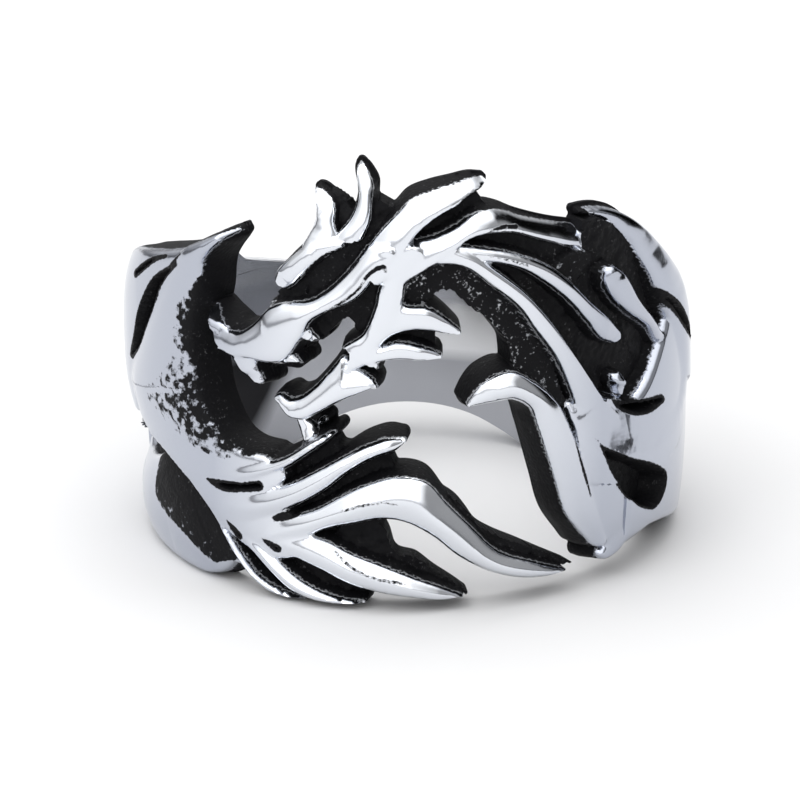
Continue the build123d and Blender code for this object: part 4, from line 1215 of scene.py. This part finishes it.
class Graph:
    """A node tree that is filled by calls."""

    def __init__(self, tree: bpy.types.NodeTree) -> None:
        """Empties the tree."""
        self.tree = tree
        tree.nodes.clear()

    def node(self, kind: str, settings: dict[str, Any], *inputs: Any, out: int | str = 0, **named: Any) -> Value:
        """Adds one node.

        Args:
            kind: The node's type.
            settings: Properties that are set before the sockets; "stops" fills a ramp.
            inputs: Values or links for the first sockets, in order; None leaves one alone.
            out: Which output the returned value stands for.
            named: Values or links for sockets by name, with _ for a space.

        Returns:
            The chosen output.
        """
        made = self.tree.nodes.new(kind)
        for key, setting in settings.items():
            if key == "stops":
                ramp = made.color_ramp
                while len(ramp.elements) < len(setting):
                    ramp.elements.new(0.5)
                for element, (position, colour) in zip(ramp.elements, setting):
                    element.position = position
                    element.color = colour
            else:
                setattr(made, key, setting)
        pairs = [(made.inputs[i], given) for i, given in enumerate(inputs)]
        pairs += [(made.inputs[key.replace("_", " ")], given) for key, given in named.items()]
        for socket, given in pairs:
            if isinstance(given, Value):
                self.tree.links.new(given.socket, socket)
            elif given is not None:
                socket.default_value = given
        return Value(self, made.outputs[out] if made.outputs else None)

    def mix(self, share: Any, low: Any, high: Any) -> Value:
        """A colour between two colours."""
        made = self.tree.nodes.new("ShaderNodeMix")
        made.data_type = "RGBA"
        for socket, given in ((made.inputs[0], share), (made.inputs[6], low), (made.inputs[7], high)):
            if isinstance(given, Value):
                self.tree.links.new(given.socket, socket)
            else:
                socket.default_value = given
        return Value(self, made.outputs[2])


def placed(name: str, data: Any) -> bpy.types.Object:
    """A new object in the scene's collection."""
    made = bpy.data.objects.new(name, data)
    bpy.context.collection.objects.link(made)
    return made


class Finish:
    """A material that is built from its own surface."""

    NAME = ""

    def surface(self, graph: Graph) -> Value:
        """The shader at the end of the graph."""
        raise NotImplementedError

    def material(self) -> bpy.types.Material:
        """The finished material."""
        material = bpy.data.materials.new(self.NAME)
        material.use_nodes = True
        graph = Graph(material.node_tree)
        graph.node("ShaderNodeOutputMaterial", {}, self.surface(graph))
        return material


@dataclass(frozen=True)
class BlackenedSteel(Finish):
    """Bright polished tops with blackened, granular recesses, and painted shade that greys the metal towards the
    ring's sides.

    Attributes:
        bright: Metal in the middle of the face.
        side: Painted shade: the greyer metal colour at the ring's sides, standing in for the darker reflections
            there.
        black: The blackening.
        grey: Flecks in it.
        middle: Squared millimetres from the middle where the painted shade starts to turn the metal grey.
        turning: Squared millimetres over which the painted shade grows.
        grit_reach: How far the grit shifts the polish's rim, in the units of the polish field.
        rim_shift: How far the rim lies outside the field's zero.
        rim_width: Width of the rim.
        fleck: Level and steepness of the grey flecks, in the grit and in the clouds.
        rough: Roughness of the blackening.
        gloss: How much smoother the polished metal is.
        mottle: How much the clouds shift the roughness.
        relief: Strength of the black's bumps, and their height in metres.
    """

    NAME = "blackened_steel"

    bright: Colour = (0.76, 0.785, 0.83, 1.0)
    side: Colour = (0.46, 0.485, 0.55, 1.0)
    black: Colour = (0.005, 0.005, 0.006, 1.0)
    grey: Colour = (0.12, 0.12, 0.125, 1.0)
    middle: float = 16.0
    turning: float = 48.0
    grit_reach: float = 0.12
    rim_shift: float = 0.01
    rim_width: float = 0.03
    fleck: tuple = ((0.6, 6.0), (0.45, 4.0))
    rough: float = 0.6
    gloss: float = 0.46
    mottle: float = 0.05
    relief: tuple[float, float] = (0.4, 0.00003)

    def surface(self, graph: Graph) -> Value:
        """The shader at the end of the graph."""
        place = graph.node("ShaderNodeTexCoord", {}, out="Object")
        rim = graph.node("ShaderNodeAttribute", {"attribute_name": "polish"}, out="Fac")
        grit = graph.node("ShaderNodeTexNoise", {}, Vector=place, Scale=7500.0, Detail=3.0, Roughness=0.6)
        cloud = graph.node("ShaderNodeTexNoise", {}, Vector=place, Scale=900.0, Detail=2.0)
        polish = ((rim + (grit - 0.5) * self.grit_reach + self.rim_shift) / self.rim_width).clamped()
        crumb = graph.node("ShaderNodeTexVoronoi", {}, Vector=place, Scale=6500.0)
        fine, broad = (
            ((noise - level) * steep).clamped() for noise, (level, steep) in zip((grit, cloud), self.fleck)
        )
        dark = graph.mix(fine * broad, self.black, self.grey)
        # painted shade: the metal's colour turns grey towards the ring's sides, standing in for darker reflections
        across = graph.node("ShaderNodeSeparateXYZ", {}, place, out="X") / MM
        away = ((across * across - self.middle) / self.turning).clamped()
        colour = graph.mix(polish, dark, graph.mix(away, self.bright, self.side))
        roughness = self.rough - polish * self.gloss + (cloud - 0.5) * self.mottle
        height = (crumb + grit) * (1.0 - polish)
        strength, high = self.relief
        bump = graph.node("ShaderNodeBump", {}, Strength=strength, Distance=high, Height=height)
        return graph.node(
            "ShaderNodeBsdfPrincipled", {}, Base_Color=colour, Metallic=polish, Roughness=roughness,
            Specular_IOR_Level=0.1, Normal=bump,
        )


@dataclass(frozen=True)
class PlainBore(Finish):
    """The plain, polished inside of the ring, with a painted highlight at the right, high up, and a painted
    reflection of the dark wing at the left, low down.

    Attributes:
        tone: The metal.
        shade: Its darker turning marks.
        high: Painted highlight: the pale part at the right, high up.
        burnt: Painted reflection of the dark wing: the dark part at the left, low down.
        high_from: Where the painted highlight starts and is whole, across and up, in metres.
        burnt_from: The same for the painted dark reflection, on its slanted rim and up.
        slant: How far that rim leans, and where it lies.
        smooth: Roughness of the metal.
        marks: How much rougher the turning marks are.
    """

    NAME = "plain_bore"

    tone: Colour = (0.46, 0.47, 0.50, 1.0)
    shade: Colour = (0.37, 0.38, 0.41, 1.0)
    # painted highlight: the pale colour laid over the bore at the right, high up
    high: Colour = (0.90, 0.91, 0.93, 1.0)
    # painted reflection: the wing's black, painted onto the bore at the left, low down
    burnt: Colour = (0.02, 0.02, 0.022, 1.0)
    high_from: tuple = ((-0.0025, -0.001), (0.0037, 0.0043))
    burnt_from: tuple = ((-0.0045, -0.0055), (0.0056, 0.0046))
    slant: tuple[float, float] = (0.5, 0.00175)
    smooth: float = 0.14
    marks: float = 0.08

    def surface(self, graph: Graph) -> Value:
        """The shader at the end of the graph."""
        place = graph.node("ShaderNodeTexCoord", {}, out="Object")
        stretch = graph.node("ShaderNodeMapping", {}, place, Scale=(350.0, 350.0, 60.0))
        turning = graph.node("ShaderNodeTexNoise", {}, Vector=stretch, Scale=1.0, Detail=2.0)
        across, _, up = (graph.node("ShaderNodeSeparateXYZ", {}, place, out=axis) for axis in "XYZ")
        lean, lies = self.slant
        slanted = across + turning * MM - up * lean + lies
        colour = graph.mix(turning, self.shade, self.tone)
        # the painted highlight and the painted dark reflection, laid over the metal's colour
        painted_light_patches = (self.high, across, self.high_from), (self.burnt, slanted, self.burnt_from)
        for tint, first, (span, span_up) in painted_light_patches:
            colour = graph.mix(first.ranged(*span) * up.ranged(*span_up), colour, tint)
        roughness = self.smooth + turning * self.marks
        return graph.node("ShaderNodeBsdfPrincipled", {}, Base_Color=colour, Metallic=1.0, Roughness=roughness)


@dataclass(frozen=True)
class PaleFloor(Finish):
    """The matt white under the ring."""

    NAME = "pale_floor"

    tone: Colour = (0.70, 0.70, 0.705, 1.0)

    def surface(self, graph: Graph) -> Value:
        """The shader at the end of the graph."""
        return graph.node(
            "ShaderNodeBsdfPrincipled", {}, Base_Color=self.tone, Roughness=0.8, Specular_IOR_Level=0.2,
        )


@dataclass
class DragonRing:
    """The whole ring as one closed casting."""

    sizes: Sizes
    node: str = "dragon_ring"
    fine_step: float = 0.088  # height of a cell, in millimetres
    quick_step: float = 0.16
    turn_per_step: float = 5.0  # degrees of a cell's width for each millimetre of its height

    def forms(self) -> list[Form]:
        """Every form of the ring, the band first, and again one turn round where it crosses the seam."""
        listed = Band().forms(self.sizes)
        for part in (LeftWing(), Flames(), Head(), Neck(), RightShoulder(), Backing()):
            listed += part.forms()
        over = [form for form in listed if min(row.angle_a for row in form.rungs) < Casting.SEAM]
        return listed + [form.turned(360.0) for form in over]

    def build(self) -> bpy.types.Object:
        """Builds, dresses and places the casting.

        Returns:
            The ring's object.
        """
        step = self.fine_step
        casting = Casting(Relief(self.forms(), self.sizes), step=step, turn=step * self.turn_per_step)
        shell = casting.build()
        ring = placed("dragon_ring_casting", shell.mesh("dragon_ring_casting"))
        for finish in (BlackenedSteel(), PlainBore()):
            ring.data.materials.append(finish.material())
        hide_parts(self.node)
        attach(ring, "root")
        triangles = sum(len(row) - 2 for row in shell.facets)
        LOG.info("ring: %d points, %d triangles", len(shell.points), triangles)
        return ring


@dataclass
class Studio:
    """A pale floor, a light tent and soft lamps for the metal to reflect.

    Attributes:
        floor_size: Side of the floor, in metres.
        tent_strength: Brightness of the tent.
        sky: Colours of the tent from straight down (0) to straight up (1).
        sides: Where the tent is darker: an axis, where that starts and is whole on it, and how much.
        dome: Height where those darker sides start to end, where they have ended, and what stays of them.
        aim: What the lamps face, in metres.
    """

    floor_size: float = 0.9
    tent_strength: float = 1.9
    sky: tuple = (
        (0.00, (0.8, 0.8, 0.81, 1.0)), (0.46, (0.7, 0.7, 0.71, 1.0)), (0.495, (0.28, 0.28, 0.29, 1.0)),
        (0.53, (0.36, 0.36, 0.37, 1.0)), (0.58, (0.9, 0.9, 0.91, 1.0)), (0.68, (1.0, 1.0, 1.0, 1.0)),
    )
    sides: tuple = ((0, 0.25, 0.75, 0.8), (0, -0.5, -0.95, 0.45), (1, 0.1, 0.8, 0.6))
    dome: tuple[float, float, float] = (0.55, 0.9, 0.2)
    aim: tuple[float, float, float] = (0.0, 0.0, 0.01)

    def floor(self) -> None:
        """Lays the floor."""
        half = self.floor_size / 2.0
        mesh = bpy.data.meshes.new("floor")
        corners = [(-half, -half, 0), (half, -half, 0), (half, half, 0), (-half, half, 0)]
        mesh.from_pydata(corners, [], [(0, 1, 2, 3)])
        mesh.materials.append(PaleFloor().material())
        placed("floor", mesh)

    def tent(self) -> None:
        """Fills the world with soft light, white above, dark at the horizon and greyer at the sides."""
        world = bpy.data.worlds.new("tent")
        bpy.context.scene.world = world
        world.use_nodes = True
        graph = Graph(world.node_tree)
        way = graph.node("ShaderNodeTexCoord", {}, out="Generated")
        parts = [graph.node("ShaderNodeSeparateXYZ", {}, way, out=axis) for axis in "XYZ"]
        sky = graph.node("ShaderNodeValToRGB", {"stops": self.sky}, parts[2] * 0.5 + 0.5)
        right, left, behind = (parts[axis].ranged(start, end, high=most) for axis, start, end, most in self.sides)
        start, end, rest = self.dome
        shade = 1.0 - (right + left + behind).clamped() * parts[2].ranged(start, end, 1.0, rest)
        soft = graph.mix(shade, (0.0, 0.0, 0.0, 1.0), sky)
        back = graph.node("ShaderNodeBackground", {}, soft, Strength=self.tent_strength)
        graph.node("ShaderNodeOutputWorld", {}, back)

    def lamp(self, name: str, spot: tuple, size: tuple, power: float) -> None:
        """Hangs one soft box that faces the ring.

        Args:
            name: The lamp's name.
            spot: Where it hangs, in metres.
            size: Its width and height, in metres.
            power: Its power, in watts.
        """
        light = bpy.data.lights.new(name, "AREA")
        light.shape = "RECTANGLE"
        light.size, light.size_y = size
        light.energy = power
        box = placed(name, light)
        box.location = spot
        box.rotation_euler = (Vector(self.aim) - Vector(spot)).to_track_quat("-Z", "Y").to_euler()

    def build(self) -> None:
        """Sets up the floor, the tent and the lamps."""
        self.floor()
        self.tent()
        self.lamp("key", (-0.14, -0.16, 0.22), (0.12, 0.12), 0.1)
        self.lamp("top", (0.0, 0.04, 0.3), (0.2, 0.2), 0.12)
        bpy.context.scene.view_settings.view_transform = "Standard"


@dataclass(frozen=True)
class PhotoCamera:
    """A long lens at the photograph's angle.

    Attributes:
        distance: From the point it looks at, in metres.
        tilt: Degrees above the horizon.
        aim: The point in the middle of the picture, in metres.
        scale: Pixels per millimetre at that point.
        frame_pixels: Width of the picture.
        sensor: Width of the camera's sensor, in millimetres.
        clip: The nearest and furthest things it shows, in metres.
    """

    distance: float = 0.26
    tilt: float = 19.5
    aim: tuple[float, float, float] = (-0.00032, 0.0, 0.00523)
    scale: float = 23.54
    frame_pixels: float = 800.0
    sensor: float = 36.0
    clip: tuple[float, float] = (0.01, 10.0)

    def build(self) -> None:
        """Places the camera."""
        lens = bpy.data.cameras.new("photo_camera")
        lens.sensor_width = self.sensor
        lens.lens = lens.sensor_width * self.scale * self.distance / MM / self.frame_pixels
        lens.clip_start, lens.clip_end = self.clip
        camera = placed("photo_camera", lens)
        tilt = math.radians(self.tilt)
        away = Vector((0.0, -math.cos(tilt), math.sin(tilt))) * self.distance
        camera.location = Vector(self.aim) + away
        camera.rotation_euler = (-away).to_track_quat("-Z", "Y").to_euler()
        bpy.context.scene.camera = camera


def bore_radius() -> float:
    """The finger hole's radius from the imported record, in millimetres."""
    mounts = {mount["name"]: mount for mount in frame["record"]["mounts"]}
    return mounts["finger_bore"]["dims"]["r_mm"]


def main() -> None:
    """Builds the ring, the studio and the camera in order."""
    logging.basicConfig(level=logging.INFO, format="%(message)s")
    ring = DragonRing(Sizes(bore=bore_radius())).build()
    LOG.info("piece: %s", ring.name)
    Studio().build()
    LOG.info("studio: floor, tent and lamps")
    PhotoCamera().build()
    LOG.info("camera: %s", bpy.context.scene.camera.name)


if __name__ == "__main__":
    main()
